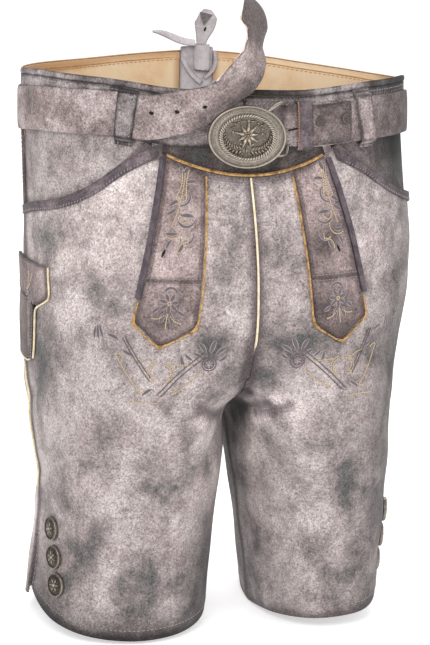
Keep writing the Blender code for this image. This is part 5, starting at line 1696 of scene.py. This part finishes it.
THIGH_PALE = (
    # two facing curls, a strip on each side and the stems' tips
    Stroke(-2, 8.5, 182, 172, 24, 1.1), Stroke(-2.5, 6.6, 186, 160, 17, 0.8),
    Stroke(4, 8.5, -2, -172, 24, 1.1), Stroke(4.5, 6.6, -6, -160, 17, 0.8),
    Stroke(-9.5, 7.5, 158, 16, 11, 0.7), Stroke(9, 7, 6, -14, 19, 0.7), Stroke(-35.5, 12, -64, 20, 37, 0.8),
    Stroke(-35.5, 12, 12, -60, 7, 0.8), Stroke(-19, -19.5, 8, 20, 8, 0.8), Stroke(12, -18, 30, 22, 33, 0.8),
    Stroke(12, -18, 60, -18, 8, 0.7), Stroke(-26, -27, 12, -20, 26, 0.6),
)
THIGH_TONE = (
    # the stems, a ringed flower at the inner end and leaf sprays
    Stroke(-31, 26, -60, 10, 41, 1), Stroke(-28.6, 26.5, -60, 10, 38, 0.8), Stroke(-1, -19, 50, -10, 54, 1),
    Stroke(2.5, -20, 50, -10, 50, 0.8), Stroke(47.5, 9, 90, 360, 38, 1), Stroke(45.3, 9, 90, 360, 25, 0.7),
    *flower(41.5, 9, 4.6, 6), leaf(38, 18, 112, 12, 3.4, 30), leaf(42, 18, 82, 13, 3.6, -20),
    leaf(46.5, 17, 52, 12, 3.2, -30), leaf(49.5, 12, 20, 9, 2.8, 40), leaf(35.5, 14, 140, 9, 2.8, 30),
    leaf(-46, 24, 118, 11, 2.4, -20), leaf(-49.5, 22, 104, 12, 2.4, -16), leaf(-53, 22, 92, 10, 2.2, -10),
    leaf(-34, 24, 148, 9, 3, 25), leaf(-22, 12.5, 172, 9, 2.6, -30), leaf(21, 6, 128, 10, 2.8, -35),
    leaf(27, 12, 158, 8, 2.4, -30), leaf(-5, -14, 205, 10, 2.4, 25),
)
KNIFE_DESIGN = (
    Stroke(0, 28, -80, -30, 22, 1), Stroke(8, 27, -100, -50, 20, 0.9), *flower(-2, 8, 6.5, 7),
    leaf(4, 22, -60, 11, 3.4, -20), leaf(10, 16, -100, 10, 3.2, 30), leaf(7, 10, -130, 9, 3, 20),
    leaf(-1, 1, -80, 12, 3.2, 20), Stroke(-1, 2, -100, 30, 40, 1),
    Stroke(1, 0, -50, -150, 18, 1.5, 0.8, True), leaf(-2, -12, -60, 10, 3, -25),
    leaf(0, -20, -110, 10, 3, 25), leaf(1, -30, -70, 9, 2.8, -25),
)


@dataclass
class Embroidery:
    """Traditional curls, leaves and flowers in thread on the bands, thighs and knife pocket."""

    trousers: Trousers

    def build(self) -> None:
        """Lay every pattern."""
        copies, surface = self.trousers.copies, self.trousers.surface
        pale, dark, tone = Finish.THREAD_PALE, Finish.THREAD_DARK, Finish.THREAD_TONE
        for tag, side in (("r", -1.0), ("l", 1.0)):
            names = ("flap_band", "band_tip", "front_panel")
            band, tip, panel = ([copies[f"{name}_{tag}"].tree] for name in names)
            place = Pattern(surface, band, side * 0.0655 + 0.0030, -0.0700, 9.0 * side, -side)
            self._dress(f"band_{tag}", place.lay(BAND_DESIGN["upper"]), pale, tone)
            place = Pattern(surface, tip, side * 0.0725 + 0.0020, -0.1440, 9.0 * side, -side)
            self._dress(f"tip_{tag}", place.lay(BAND_DESIGN["tip"]), pale, tone)
            # each band's slit: a dark mark of painted shade
            slit = Pattern(surface, band, side * 0.0745, -0.0985, 0.0, -side)
            ribbons(f"band_slit_{tag}", slit.lay([leaf(-1.6, -3.4, 66, 7.5, 2.4, 0)]), Finish.HOLE, 0.10)
            across = side * (0.0785 if side < 0 else 0.0810)
            place = Pattern(surface, panel, across, -0.1985, 3.0 * side, -side)
            self._dress(f"thigh_pale_{tag}", place.lay(THIGH_PALE), pale, pale)
            self._dress(f"thigh_tone_{tag}", place.lay(THIGH_TONE), dark, tone)
        knife = [copies["knife_pocket"].tree, copies["knife_cuff"].tree]
        place = Pattern(surface, knife, -0.026, -0.158, 0.0, 1.0, Side.RIGHT)
        self._dress("knife", place.lay(KNIFE_DESIGN), pale, tone)
        self.trousers.shoulder()

    @staticmethod
    def _dress(name: str, laid: list[tuple[Stroke, Path]], line: Finish, satin: Finish) -> None:
        """Make the line marks and the filled marks of one pattern."""
        stitches(f"{name}_lines", [path for stroke, path in laid if not stroke.satin], line, 1.9, 0.1, 1.1)
        filled = [mark for mark in laid if mark[0].satin]
        rims = [(replace(stroke, width=stroke.width + 1.1), path) for stroke, path in filled]
        ribbons(f"{name}_rims", rims, Finish.THREAD_GREY, 0.06)
        ribbons(f"{name}_leaves", filled, satin, 0.24)


# ---------------------------------------------------------------- ornaments
@dataclass(frozen=True)
class Bench:
    """A flat place to model small shapes on: X and Y lie in its plane, Z comes out of it."""

    centre: Vector
    across: Vector
    upward: Vector
    face: Vector

    @staticmethod
    def facing(centre: Vector, face: Vector, tilt: float = 0.0) -> "Bench":
        """A bench at a place that looks along a direction, turned in its plane by some degrees."""
        face = Vector(face).normalized()
        across = UP.cross(face).normalized()
        upward = face.cross(across)
        c, s = polar(tilt)
        return Bench(centre.copy(), across * c + upward * s, upward * c - across * s, face)

    def put(self, piece: bpy.types.Object) -> bpy.types.Object:
        """Move a shape's mesh from the bench's own axes to its place."""
        axes = np.array([self.across, self.upward, self.face])
        set_coords(piece.data, coords(piece.data) @ axes + np.array(self.centre))
        return piece


def raise_top(steps: Sequence[tuple[float, float]]) -> None:
    """Inset and lift the selected face again and again.

    Args:
        steps: For each step the way in and the way up, in metres.
    """
    for way_in, lift in steps:
        if way_in > 0:
            bpy.ops.mesh.inset(thickness=way_in, depth=lift, use_even_offset=True)
        else:
            bpy.ops.mesh.extrude_region_move(TRANSFORM_OT_translate={"value": (0, 0, lift)})


def turned_disc(name: str, radius: float, depth: float, steps: Sequence[tuple[float, float]], sides: int,
                ratio: float = 1.0) -> bpy.types.Object:
    """A disc with a stepped face, its foot at height zero.

    Args:
        name: Name of the object.
        radius: Radius in metres.
        depth: Height of its wall in metres.
        steps: Ways in and up that shape its face.
        sides: Corners round the disc.
        ratio: Height of the oval by its width.

    Returns:
        The disc on the bench's axes.
    """
    middle = (0, 0, depth / 2)
    bpy.ops.mesh.primitive_cylinder_add(vertices=sides, radius=radius, depth=depth, location=middle)
    disc = bpy.context.active_object
    disc.name = name
    bpy.ops.object.transform_apply(location=True)
    with editing(disc, lambda face: len(face.vertices) == sides and face.normal.z > 0.9):
        raise_top(steps)
        bpy.ops.mesh.select_all(action="SELECT")
        bpy.ops.transform.resize(value=(1.0, ratio, 1.0), center_override=(0, 0, 0))
    return disc


def set_disc(disc: bpy.types.Object, spot: Vector, face: Vector, tilt: float, finish: Finish,
             nodes: Sequence[str] = ()) -> None:
    """Put a turned disc in its place.

    Args:
        disc: The disc on the bench's axes.
        spot: Where its foot's middle goes.
        face: The way it looks.
        tilt: Its turn in degrees.
        finish: Its finish.
        nodes: Part nodes that it stands for.
    """
    Bench.facing(spot, face, tilt).put(disc)
    settle(disc, finish, nodes=nodes)


@cache
def petal_shape() -> Template:
    """A pointed petal with a raised spine; it starts at the origin and runs along X."""
    bpy.ops.mesh.primitive_circle_add(vertices=14, radius=0.5, fill_type="NGON")
    piece = bpy.context.active_object
    with editing(piece):
        bpy.ops.transform.translate(value=(0.5, 0, 0))
        for grow, lift in ((0.96, 0.30), (0.78, 0.42), (0.45, 0.28)):
            bpy.ops.mesh.extrude_region_move(TRANSFORM_OT_translate={"value": (0, 0, lift)})
            bpy.ops.transform.resize(value=(grow, grow * 0.86, 1.0))
    shape, faces = taken(piece)
    shape[:, 1] *= np.clip(1.25 - shape[:, 0], 0.12, 1.0)
    shape[:, 2] *= 0.55 + 0.45 * np.clip(np.sin(np.pi * shape[:, 0]), 0, 1)
    return shape, faces


@cache
def bead_shape() -> Template:
    """A half-round bead."""
    bpy.ops.mesh.primitive_cylinder_add(vertices=10, radius=1.0, depth=0.4, end_fill_type="NGON")
    piece = bpy.context.active_object
    with editing(piece, lambda face: face.normal.z > 0.9):
        raise_top(((0.22, 0.32), (0.40, 0.22)))
    return taken(piece)


def seat_of(node: str) -> tuple[np.ndarray, Vector]:
    """The middle of a round part node's foot, and its outward direction."""
    points = coords(frame["nodes"][node].data)
    middle = points.mean(0)
    face = Vector(np.linalg.svd(points - middle)[2][2])
    face = face if face.dot(outward_at(middle)) > 0 else -face
    return middle + np.array(face) * ((points - middle) @ np.array(face)).min(), face


@dataclass
class Relief:
    """Raised marks on a bench's plane, gathered in one mesh; sizes in millimetres."""

    petals: list = field(default_factory=list)
    beads: list = field(default_factory=list)

    def petal(self, x: float, y: float, heading: float, length: float, width: float, high: float,
              z: float = 0.0) -> None:
        """Add a petal that starts at a place and heads off in degrees."""
        along = Vector((*polar(heading), 0.0))
        self.petals.append((Vector((x, y, z)) * MM, along, UP, (length * MM, width * MM, high * MM)))

    def bead(self, x: float, y: float, radius: float, high: float, z: float = 0.0) -> None:
        """Add a bead."""
        sizes = (radius * MM, radius * MM, high * MM)
        self.beads.append((Vector((x, y, z)) * MM, Vector((1, 0, 0)), UP, sizes))

    def stem(self, x: float, y: float, heading: float, turn: float, length: float, width: float) -> list:
        """Add a stem of short petals.

        Args:
            x: Where it starts.
            y: Where it starts.
            heading: Its first direction in degrees.
            turn: How far it turns on its way.
            length: Its length.
            width: Its width.

        Returns:
            Its points with their headings.
        """
        count = max(int(length / 0.9), 3)
        places = []
        for k in range(count):
            angle = heading + turn * k / count
            places.append((x, y, angle))
            self.petal(x, y, angle, length / count * 1.5, width, 0.5)
            across, up = polar(angle, length / count)
            x, y = x + across, y + up
        return places + [(x, y, heading + turn)]

    def build(self, name: str) -> bpy.types.Object:
        """Make the mesh of every mark.

        Args:
            name: Name of the object.

        Returns:
            The object.
        """
        points, faces = [], []
        for template, spots in ((petal_shape(), self.petals), (bead_shape(), self.beads)):
            if spots:
                some, corners = placed(template, spots)
                faces += [[corner + len(points) for corner in face] for face in corners]
                points += list(some)
        piece = new_mesh(name, points, faces)
        smooth_faces(piece, 50)
        return piece


def joined(name: str, parts: Sequence[bpy.types.Object]) -> bpy.types.Object:
    """Join objects into the first of them."""
    select_only(parts[0])
    for part in parts[1:]:
        part.select_set(True)
    bpy.ops.object.join()
    parts[0].name = name
    return parts[0]


@dataclass
class Buckle:
    """The oval pewter plate: stepped rim, twisted rope ring, an edelweiss and two leaf sprays."""

    bench: Bench
    half: float = 0.0335
    ratio: float = 0.79
    rope_half: float = 0.0226
    rope_ratio: float = 0.80

    def build(self) -> None:
        """Model the plate, its ring and its relief, and smooth the wire frame's copy."""
        steps = (
            (0.0006, 0.0007), (0.0011, 0.0001), (0.0005, -0.0008), (0.0034, 0.0004), (0.0003, -0.0003),
            (0.0004, 0.0003), (0.0026, 0.0001), (0.0016, -0.0003), (0.0020, -0.0006), (0.0050, 0.0003),
            (0.0060, 0.0002),
        )
        plate = turned_disc("plate_blank", self.half - 0.0004, 0.0026, steps, 96, self.ratio)
        set_coords(plate.data, coords(plate.data) - np.array([0, 0, 0.0026]))
        bevelled(plate, 0.00018, 28, 40)
        points = coords(plate.data)
        share = np.hypot(points[:, 0], points[:, 1] / self.ratio) / self.half
        inner = np.clip((0.66 - share) / 0.03, 0, 1)
        wear(plate, np.clip(0.38 + points[:, 2] / 0.0016, 0.06, 0.86) * (1 - inner) + 0.42 * inner)
        ring = self._rope()
        relief = self._flora().build("relief_blank")
        wear(relief, 0.44 + coords(relief.data)[:, 2] / 0.0030)
        piece = self.bench.put(joined("buckle_plate_piece", [plate, ring, relief]))
        settle(piece, Finish.PEWTER, nodes=["buckle_plate", "buckle_rope", "buckle_flower", "buckle_leaf_r",
                                            "buckle_leaf_l"])
        wire = Copy("buckle_frame", None, 2, 0.0).settled(Finish.PEWTER)
        wear(wire.piece, np.full(len(wire.points), 0.72))

    def _rope(self) -> bpy.types.Object:
        """The ring of three twisted strands."""
        bpy.ops.mesh.primitive_torus_add(major_segments=360, minor_segments=18, major_radius=self.rope_half,
                                         minor_radius=0.0019)
        ring = bpy.context.active_object
        ring.name = "rope_blank"
        lift = 0.0012
        with editing(ring):
            bpy.ops.transform.resize(value=(1.0, self.rope_ratio, 1.0), center_override=(0, 0, 0))
            bpy.ops.transform.translate(value=(0, 0, lift))
        points = coords(ring.data)
        angle = np.arctan2(points[:, 1] / self.rope_ratio, points[:, 0])
        spine = np.stack([self.rope_half * np.cos(angle), self.rope_half * self.rope_ratio * np.sin(angle),
                          np.full(len(points), lift)], axis=1)
        away = points - spine
        out = away[:, 0] * np.cos(angle) + away[:, 1] * np.sin(angle)
        around = np.arctan2(away[:, 2], out)
        grown = 1 + 0.42 * (np.abs(np.cos(1.5 * (around - 20 * angle))) ** 0.8 - 0.6)
        set_coords(ring.data, spine + away * grown[:, None])
        wear(ring, (grown - 0.86) / 0.26)
        ring.data.shade_smooth()
        return ring

    def _flora(self) -> Relief:
        """An edelweiss in the middle, with a leaf spray curling up at each side, and ticks on the band."""
        relief = Relief()
        for k in range(9):
            x, y = polar(90 + 40 * k, 1.6)
            relief.petal(x, 1.6 + y, 90 + 40 * k, 8.8 if k % 2 else 10.8, 4.9, 3.0)
        for k in range(6):
            x, y = polar(60 * k + 15, 2.0)
            relief.bead(x, 1.6 + y, 1.15, 2.9, 0.1)
        relief.bead(0.0, 1.6, 1.25, 3.6, 0.1)
        for side in (-1, 1):
            heading = -14 if side > 0 else 194
            places = relief.stem(side * 2.5, -10.2, heading, 104 * side, 27.0, 1.9)
            for k in range(2, len(places), 3):
                x, y, angle = places[k]
                for turn in (-56, 52):
                    relief.petal(x, y, angle + turn, 5.6 - 0.06 * k, 2.9, 2.2)
            x, y, angle = places[-1]
            relief.petal(x, y, angle, 4.0, 2.0, 1.6)
            relief.stem(side * 3.6, -8.4, heading + side * 48, 150 * side, 8.0, 1.3)
            relief.petal(side * 2.2, -8.2, 90 - side * 42, 5.4, 2.2, 1.7)
            relief.bead(side * 5.2, -6.0, 1.0, 1.8)
            relief.stem(side * 9.5, 9.6, 270 + side * 58, -150 * side, 9.0, 1.3)
            relief.petal(side * 9.5, 9.4, 90 - side * 60, 5.2, 2.4, 1.9)
            relief.petal(side * 10.5, 8.2, 90 - side * 110, 4.8, 2.2, 1.8)
            relief.bead(side * 12.4, 3.6, 1.1, 2.0)
        relief.petal(0.0, -13.6, 90, 6.0, 2.4, 1.8)
        relief.bead(0.0, 13.4, 1.2, 1.5)
        for side in (-1, 1):
            relief.petal(side * 1.6, 13.0, 90 - side * 82, 5.4, 2.1, 1.5)
            relief.petal(side * 6.6, 12.2, 90 - side * 102, 4.6, 1.9, 1.4)
            relief.petal(side * 1.2, -13.4, -90 + side * 76, 5.0, 1.9, 1.4)
        return relief


@dataclass
class Button:
    """A hem button of aged metal: a beaded rim and a flower in relief on a dome."""

    radius: float = 0.0106

    def blank(self) -> bpy.types.Object:
        """The button on the bench's axes."""
        steps = (
            (0.0004, 0.0004), (0.0016, 0.0000), (0.0003, -0.0004), (0.0014, 0.0005), (0.0018, 0.0004),
            (0.0022, 0.0003),
        )
        disc = turned_disc("button_blank", self.radius, 0.0022, steps, 48)
        bevelled(disc, 0.00022, 25, 40)
        relief = Relief()
        for k in range(26):
            relief.bead(*polar(360 * k / 26, 9.0), 0.78, 0.75, 2.5)
        for k in range(6):
            angle = 60 * k + 12
            relief.petal(*polar(angle, 1.3), angle, 5.2, 3.0, 0.9, 2.9)
            relief.petal(*polar(angle + 30, 3.6), angle + 30, 3.4, 1.3, 0.7, 2.6)
        relief.bead(0.0, 0.0, 1.7, 1.6, 3.1)
        marks = relief.build("button_relief")
        wear(marks, 0.12 + (coords(marks.data)[:, 2] / MM - 2.4) / 2.6)
        share = np.hypot(*coords(disc.data).T[:2]) / self.radius
        wear(disc, np.where(share > 0.90, 0.55, 0.20))
        return joined("button_blank", [disc, marks])

    def build(self, surface: Surface) -> None:
        """Set a button at each of the part's buttons.

        Args:
            surface: The creased surface that they lie on.
        """
        blank = self.blank()
        for node in [f"hem_button_{tag}{number}" for tag in "rl" for number in (1, 2, 3)]:
            foot, face = seat_of(node)
            foot = Vector(foot + outward(foot[None])[0] * surface.height(foot[None])[0])
            piece = bpy.data.objects.new(f"{node}_piece", blank.data.copy())
            bpy.context.scene.collection.objects.link(piece)
            set_disc(piece, foot, face, random.Random(node).uniform(-35, 35), Finish.PEWTER, [node])
        bpy.data.objects.remove(blank)


# ---------------------------------------------------------------- belt
# how the belt's tail waves: height, its middle, half width and how far its left and right edges move
TAIL_EDGES = np.array((
    (25.0, -35.0, 24.0, 0.0, 0.0), (33.3, -29.0, 23.0, 0.0, 3.8), (38.2, -25.0, 22.0, 0.0, 3.4),
    (44.5, -16.7, 19.4, 1.4, 3.4), (52.2, -11.5, 17.5, -0.5, 2.6), (58.2, -7.6, 14.0, -2.0, 2.2),
    (63.9, -3.8, 10.9, -2.0, 0.0), (69.6, -1.9, 8.9, -1.1, -1.9), (77.8, -0.7, 7.4, -0.4, -0.2),
    (83.6, -0.7, 7.3, 0.0, 2.0), (89.4, -1.0, 7.4, -0.9, 2.1), (93.2, -1.4, 7.6, -2.9, 2.0),
    (96.1, -2.2, 7.7, -4.2, 1.7), (99.4, -3.0, 7.3, -2.8, 1.3), (105.0, -4.3, 6.5, -1.0, 0.0),
    (111.0, -6.0, 5.2, 0.0, -3.4), (120.0, -6.0, 5.2, 0.0, -3.4),
)) * MM


@dataclass
class Belt:
    """The nubuck belt with its cut edges, holes, seams, folded end, keeper and snaps."""

    holes: tuple[tuple[float, float, float], ...] = (
        (-0.0832, -0.1085, 0.0164), (-0.0655, -0.1225, 0.0192), (-0.0424, -0.1244, 0.0232),
    )

    def build(self) -> None:
        """Build every piece of the belt."""
        self.belt = Copy("belt", None, 2, 0.85, 62.0, 0.003).build()
        self._shade_belt()
        self._cut_edges(self.belt)
        settle(self.belt.piece, Finish.BELT, Finish.CUT, nodes=["belt"])
        self.fold = Copy("belt_return", None, 2, 0.8, 60.0, 0.003).settled(Finish.BELT)
        paint(self.fold.mesh, "patch", 1.1 * rise(self.fold.points[:, 0], 0.046, 0.062))
        self.fold.shade(1.2)
        self.keeper = Copy("belt_keeper", None, 2, 0.75, 40.0, 0.003).settled(Finish.BINDING)
        for number in (1, 2):
            self._snap(f"belt_snap_{number}")
        self._pierce()
        self._sew()
        for piece in bpy.data.objects:
            if piece.type == "MESH" and piece.name.startswith(("belt_piece", "belt_bare", "belt_stitches")):
                set_coords(piece.data, coords(piece.data) + self._wave(coords(piece.data)))

    @staticmethod
    def _tail_share(points: np.ndarray) -> tuple[np.ndarray, np.ndarray]:
        """Which points are on the tail, and how far across it they are, from -1 to 1."""
        middle, half = (np.interp(points[:, 2], TAIL_EDGES[:, 0], TAIL_EDGES[:, k]) for k in (1, 2))
        near = (points[:, 1] < -0.08) & (points[:, 0] < 0.025) & (points[:, 2] > 0.025)
        return near, np.clip((points[:, 0] - middle) / half, -1, 1)

    def _wave(self, points: np.ndarray) -> np.ndarray:
        """How far the tail's edges swing in and out at each point."""
        near, share = self._tail_share(points)
        left, right = (np.interp(points[:, 2], TAIL_EDGES[:, 0], TAIL_EDGES[:, k]) for k in (3, 4))
        moved = np.zeros_like(points)
        moved[:, 0] = np.where(near, np.where(share > 0, right * share**2, left * share**2), 0)
        return moved

    def _shade_belt(self) -> None:
        """Darken the belt at the tail's upper part and its foot, with painted shadow under the foot and
        painted shade towards the belt's left end.
        """
        points = self.belt.points
        x, y, z = points.T
        near, share = self._tail_share(points)
        dark = np.where(near, 1.7 * rise(z, 0.068, 0.088) + 0.5 * np.clip(share, 0, 1), 0)
        # darker at the tail's foot, and painted shadow under it where it curves down to the buckle
        dark += clouds(points, (([-0.024, -0.128, 0.033], 0.018, 1.1), ([-0.048, -0.128, 0.008], 0.016, 1.4)))
        dark += 1.3 * rise(x, 0.115, 0.140) * (y < 0)
        paint(self.belt.mesh, "patch", dark)
        # painted shade towards the belt's left end
        self.belt.shade(2.3 * rise(x, 0.080, 0.120) * (y < 0.02))

    @staticmethod
    def _cut_edges(copy: Copy) -> None:
        """Give the belt's narrow faces their own finish: the leather runs deep behind them."""
        for polygon in copy.piece.data.polygons:
            start = polygon.center - polygon.normal * 0.0002
            depth = copy.tree.ray_cast(start, -polygon.normal, 0.010)[3]
            polygon.material_index = 1 if depth is None else 0
        copy.piece.data.update()

    @staticmethod
    def _snap(node: str) -> None:
        """A round snap over one of the part's."""
        steps = ((0.0003, 0.0003), (0.0010, 0.0001), (0.0003, -0.0002), (0.0012, 0.0003), (0.0014, 0.0001))
        disc = turned_disc(f"{node}_piece", 0.0045, 0.0008, steps, 32)
        bevelled(disc, 0.00012, 30, 45)
        wear(disc, np.where(np.hypot(*coords(disc.data).T[:2]) > 0.0040, 0.55, 0.40))
        foot, face = seat_of(node)
        set_disc(disc, Vector(foot), face, 0, Finish.IRON, [node])

    def _pierce(self) -> None:
        """Punched holes: a pressed rim round a well painted dark as the shade inside the hole."""
        steps = ((0.0005, 0.00004), (0.0008, -0.00002))
        for number, place in enumerate(self.holes, 1):
            spot, normal = self.belt.tree.find_nearest(Vector(place))[:2]
            if normal.dot(outward_at(place)) < 0:
                normal = -normal
            well = turned_disc(f"belt_hole_{number}", 0.0021, 0.0006, steps, 20, 0.72)
            well.data.shade_smooth()
            set_disc(well, spot - normal * 0.00045, normal, -14, Finish.HOLE)

    def _sew(self) -> None:
        """Rows of stitches along the belt's edges and round its fold."""
        tone, dark = Finish.THREAD_TONE, Finish.THREAD_DARK
        front = self.belt.line(lambda rim: rim.middle.y < -0.02 and rim.level, 0.0028)
        stitches("belt_stitches", front, tone, 2.0, 1.2, 0.45)
        stitches("fold_stitches", self.fold.line(lambda rim: True, 0.0030), dark, 2.0, 1.2, 0.45)
        edges = [plain(line, 1.7) for line in self.belt.line(self._bare, 0.0002)]
        ribbons("belt_bare_edge", edges, Finish.CUT, 0.25)
        raw = self.keeper.line(lambda rim: not rim.level and rim.inward.x > 0.5, 0.0004)
        stitches("keeper_raw_edge", raw, Finish.THREAD_GOLD, 2.2, 0.1, 0.9)
        # the prong's slot: a dark disc of painted shade
        slot = turned_disc("prong_slot", 0.0052, 0.0006, ((0.0003, 0.00003),), 24, 0.14)
        spot, normal = self.fold.tree.find_nearest(Vector((0.0348, -0.1230, 0.0026)))[:2]
        set_disc(slot, spot - normal * 0.0001, normal, 8, Finish.HOLE)

    @staticmethod
    def _bare(rim: Rim) -> bool:
        """Whether a rim is on the belt's upper edge or its tail's outer one, where the cut shows pale."""
        x, y, z = rim.middle
        upper = z > 0.010 and rim.inward.z < -0.3
        outer = z > 0.022 and x < 0.01 and rim.inward.x > 0.3
        return y < 0.0 and (upper or outer)


# ---------------------------------------------------------------- back lacing
@dataclass
class Lacing:
    """The grey-white gusset, tongue, crossed laces and their free ends inside the back."""

    end_marks: tuple[tuple[float, float, float, float], ...] = (
        (-0.0018, 0.0845, 0.0448, 3.3), (-0.0110, 0.0832, 0.0462, 3.8), (-0.0200, 0.0808, 0.0496, 3.9),
        (-0.0285, 0.0778, 0.0535, 3.4), (-0.0360, 0.0748, 0.0562, 2.4), (-0.0420, 0.0728, 0.0574, 0.9),
    )

    def build(self, surface: Surface) -> None:
        """Build the lacing.

        Args:
            surface: The creased surface, for the gusset.
        """
        gusset = Copy("lace_gusset", surface, 2, 0.5, edge_reach=0.004).settled(Finish.LACE)
        CUTS["lace_gusset"].declare(gusset.piece)
        for node in ("lace_tongue", "lace_cross_1", "lace_cross_2", "lace_cross_3", "lace_tab"):
            levels = 2 if node == "lace_tongue" else 3
            Copy(node, None, levels, 0.7, 40.0, 0.0025).settled(Finish.LACE)
        self._slot()
        self._end()

    @staticmethod
    def _slot() -> None:
        """The small slot in the standing tab, painted dark as its shade, and the painted shade of the tab's
        fold.
        """
        slot = turned_disc("tab_slot", 0.0020, 0.0006, ((0.0002, 0.00003),), 16, 0.45)
        set_disc(slot, Vector((0.0068, 0.0822, 0.0572)), Vector((0.0, -1.0, 0.1)), 65, Finish.HOLE)
        # a flat dark triangle of painted shade in the tab's fold
        fold = turned_disc("tab_fold", 0.0072, 0.0005, ((0.0003, 0.00003),), 3)
        set_disc(fold, Vector((0.0062, 0.0800, 0.0680)), Vector((0.05, -1.0, 0.1)), 166, Finish.FOLD)

    def _end(self) -> None:
        """The lace's free end as a flat oval thong along its line."""
        rings, sides = 41, 14
        marks = np.array(self.end_marks)
        at = np.linspace(0, len(marks) - 1, rings)
        line = np.stack([np.interp(at, range(len(marks)), marks[:, k]) for k in range(4)], axis=1)
        for _ in range(6):
            line[1:-1] = (line[:-2] + 2 * line[1:-1] + line[2:]) / 4
        facing = Vector((-0.1, -0.75, 0.66))
        points = []
        for k, (x, y, z, half) in enumerate(line):
            ahead = Vector(line[min(k + 1, rings - 1)][:3]) - Vector(line[max(k - 1, 0)][:3])
            beside = ahead.normalized().cross(facing).normalized()
            up = beside.cross(ahead.normalized())
            for j in range(sides):
                a, b = (math.copysign(abs(part) ** 0.7, part) for part in polar(360 * j / sides))
                points.append(Vector((x, y, z)) + beside * half * MM * a + up * 1.25 * MM * b)
        end = tube_mesh("lace_end_piece", points, tube_faces(0, rings, sides))
        settle(end, Finish.LACE, nodes=["lace_end"])


# ---------------------------------------------------------------- studio
@dataclass(frozen=True)
class Studio:
    """A pale floor, a white room, soft lights and the camera."""

    target: tuple[float, float, float] = (0.0, 0.0, -0.188)
    azimuth: float = -14.0
    elevation: float = 13.0
    roll: float = 1.2
    distance: float = 3.0
    lens: float = 192.4

    def build(self) -> None:
        """Build the studio."""
        self._room()
        self._light("key", (-0.9, -2.0, 1.4), 1.3, 34)
        self._light("fill", (1.8, -1.4, 0.5), 1.5, 12)
        self._light("back", (0.5, 1.7, 1.5), 1.4, 20)
        self._camera()
        bpy.context.scene.view_settings.view_transform = "Standard"

    def _room(self) -> None:
        """The floor just under the hem, and the world's even light."""
        bpy.ops.mesh.primitive_plane_add(size=1.0, location=(0, 0, 0))
        floor = bpy.context.active_object
        floor.name = "floor"
        with editing(floor):
            bpy.ops.transform.resize(value=(16, 16, 1))
            bpy.ops.transform.translate(value=(0, 5.0, START_BOUNDS[0][2] - 0.0015))
            bpy.ops.mesh.subdivide(number_cuts=3)
        white = (1.0, 1.0, 1.0, 1.0)
        glow = {"Emission Color": white, "Emission Strength": 0.50}
        looks = {"Base Color": srgb("F6F6F6"), "Roughness": 0.80, **glow}
        floor.data.materials.append(Nodes("floor_white").finish(looks))
        world = bpy.data.worlds.new("room")
        bpy.context.scene.world = world
        world.use_nodes = True
        background = world.node_tree.nodes["Background"].inputs
        background["Color"].default_value = white
        background["Strength"].default_value = 0.62

    def _light(self, name: str, place: tuple[float, float, float], size: float, power: float) -> None:
        """A soft square light that looks at the trousers.

        Args:
            name: Its name.
            place: Where it stands.
            size: Its edge in metres.
            power: Its power in watts.
        """
        data = bpy.data.lights.new(name, "AREA")
        data.size = size
        data.energy = power
        lamp = bpy.data.objects.new(name, data)
        bpy.context.scene.collection.objects.link(lamp)
        lamp.location = place
        way = Vector(self.target) - Vector(place)
        lamp.rotation_euler = way.to_track_quat("-Z", "Y").to_euler()

    def _camera(self) -> None:
        """The camera, low and a little to the wearer's right."""
        azimuth, elevation = math.radians(self.azimuth), math.radians(self.elevation)
        away = Vector((math.sin(azimuth) * math.cos(elevation), -math.cos(azimuth) * math.cos(elevation),
                       math.sin(elevation)))
        look = -away
        right = look.cross(UP).normalized()
        up = right.cross(look)
        c, s = polar(self.roll)
        right, up = right * c + up * s, up * c - right * s
        data = bpy.data.cameras.new("camera")
        data.lens = self.lens
        data.sensor_fit = "VERTICAL"
        data.sensor_height = 36.0
        data.shift_x = 1.0 / 645
        camera = bpy.data.objects.new("camera", data)
        bpy.context.scene.collection.objects.link(camera)
        axes = Matrix((right, up, away)).transposed().to_4x4()
        camera.matrix_world = Matrix.Translation(Vector(self.target) + away * self.distance) @ axes
        bpy.context.scene.camera = camera


def main() -> None:
    """Build the lederhosen's looks and the studio."""
    logging.basicConfig(level=logging.INFO, format="%(message)s")
    body = ["front_panel_r", "front_panel_l", "back_panel_r", "back_panel_l"]
    surface = Surface(body, CREASES, PATCHES)
    trousers = Trousers(surface)
    trousers.build()
    trousers.sew()
    Embroidery(trousers).build()
    Belt().build()
    Buckle(Bench.facing(Vector((-0.0089, -0.1355, -0.0006)), Vector((-0.03, -1.0, 0.02)), -4)).build()
    Button().build(surface)
    Lacing().build(surface)
    Studio().build()


if __name__ == "__main__":
    main()
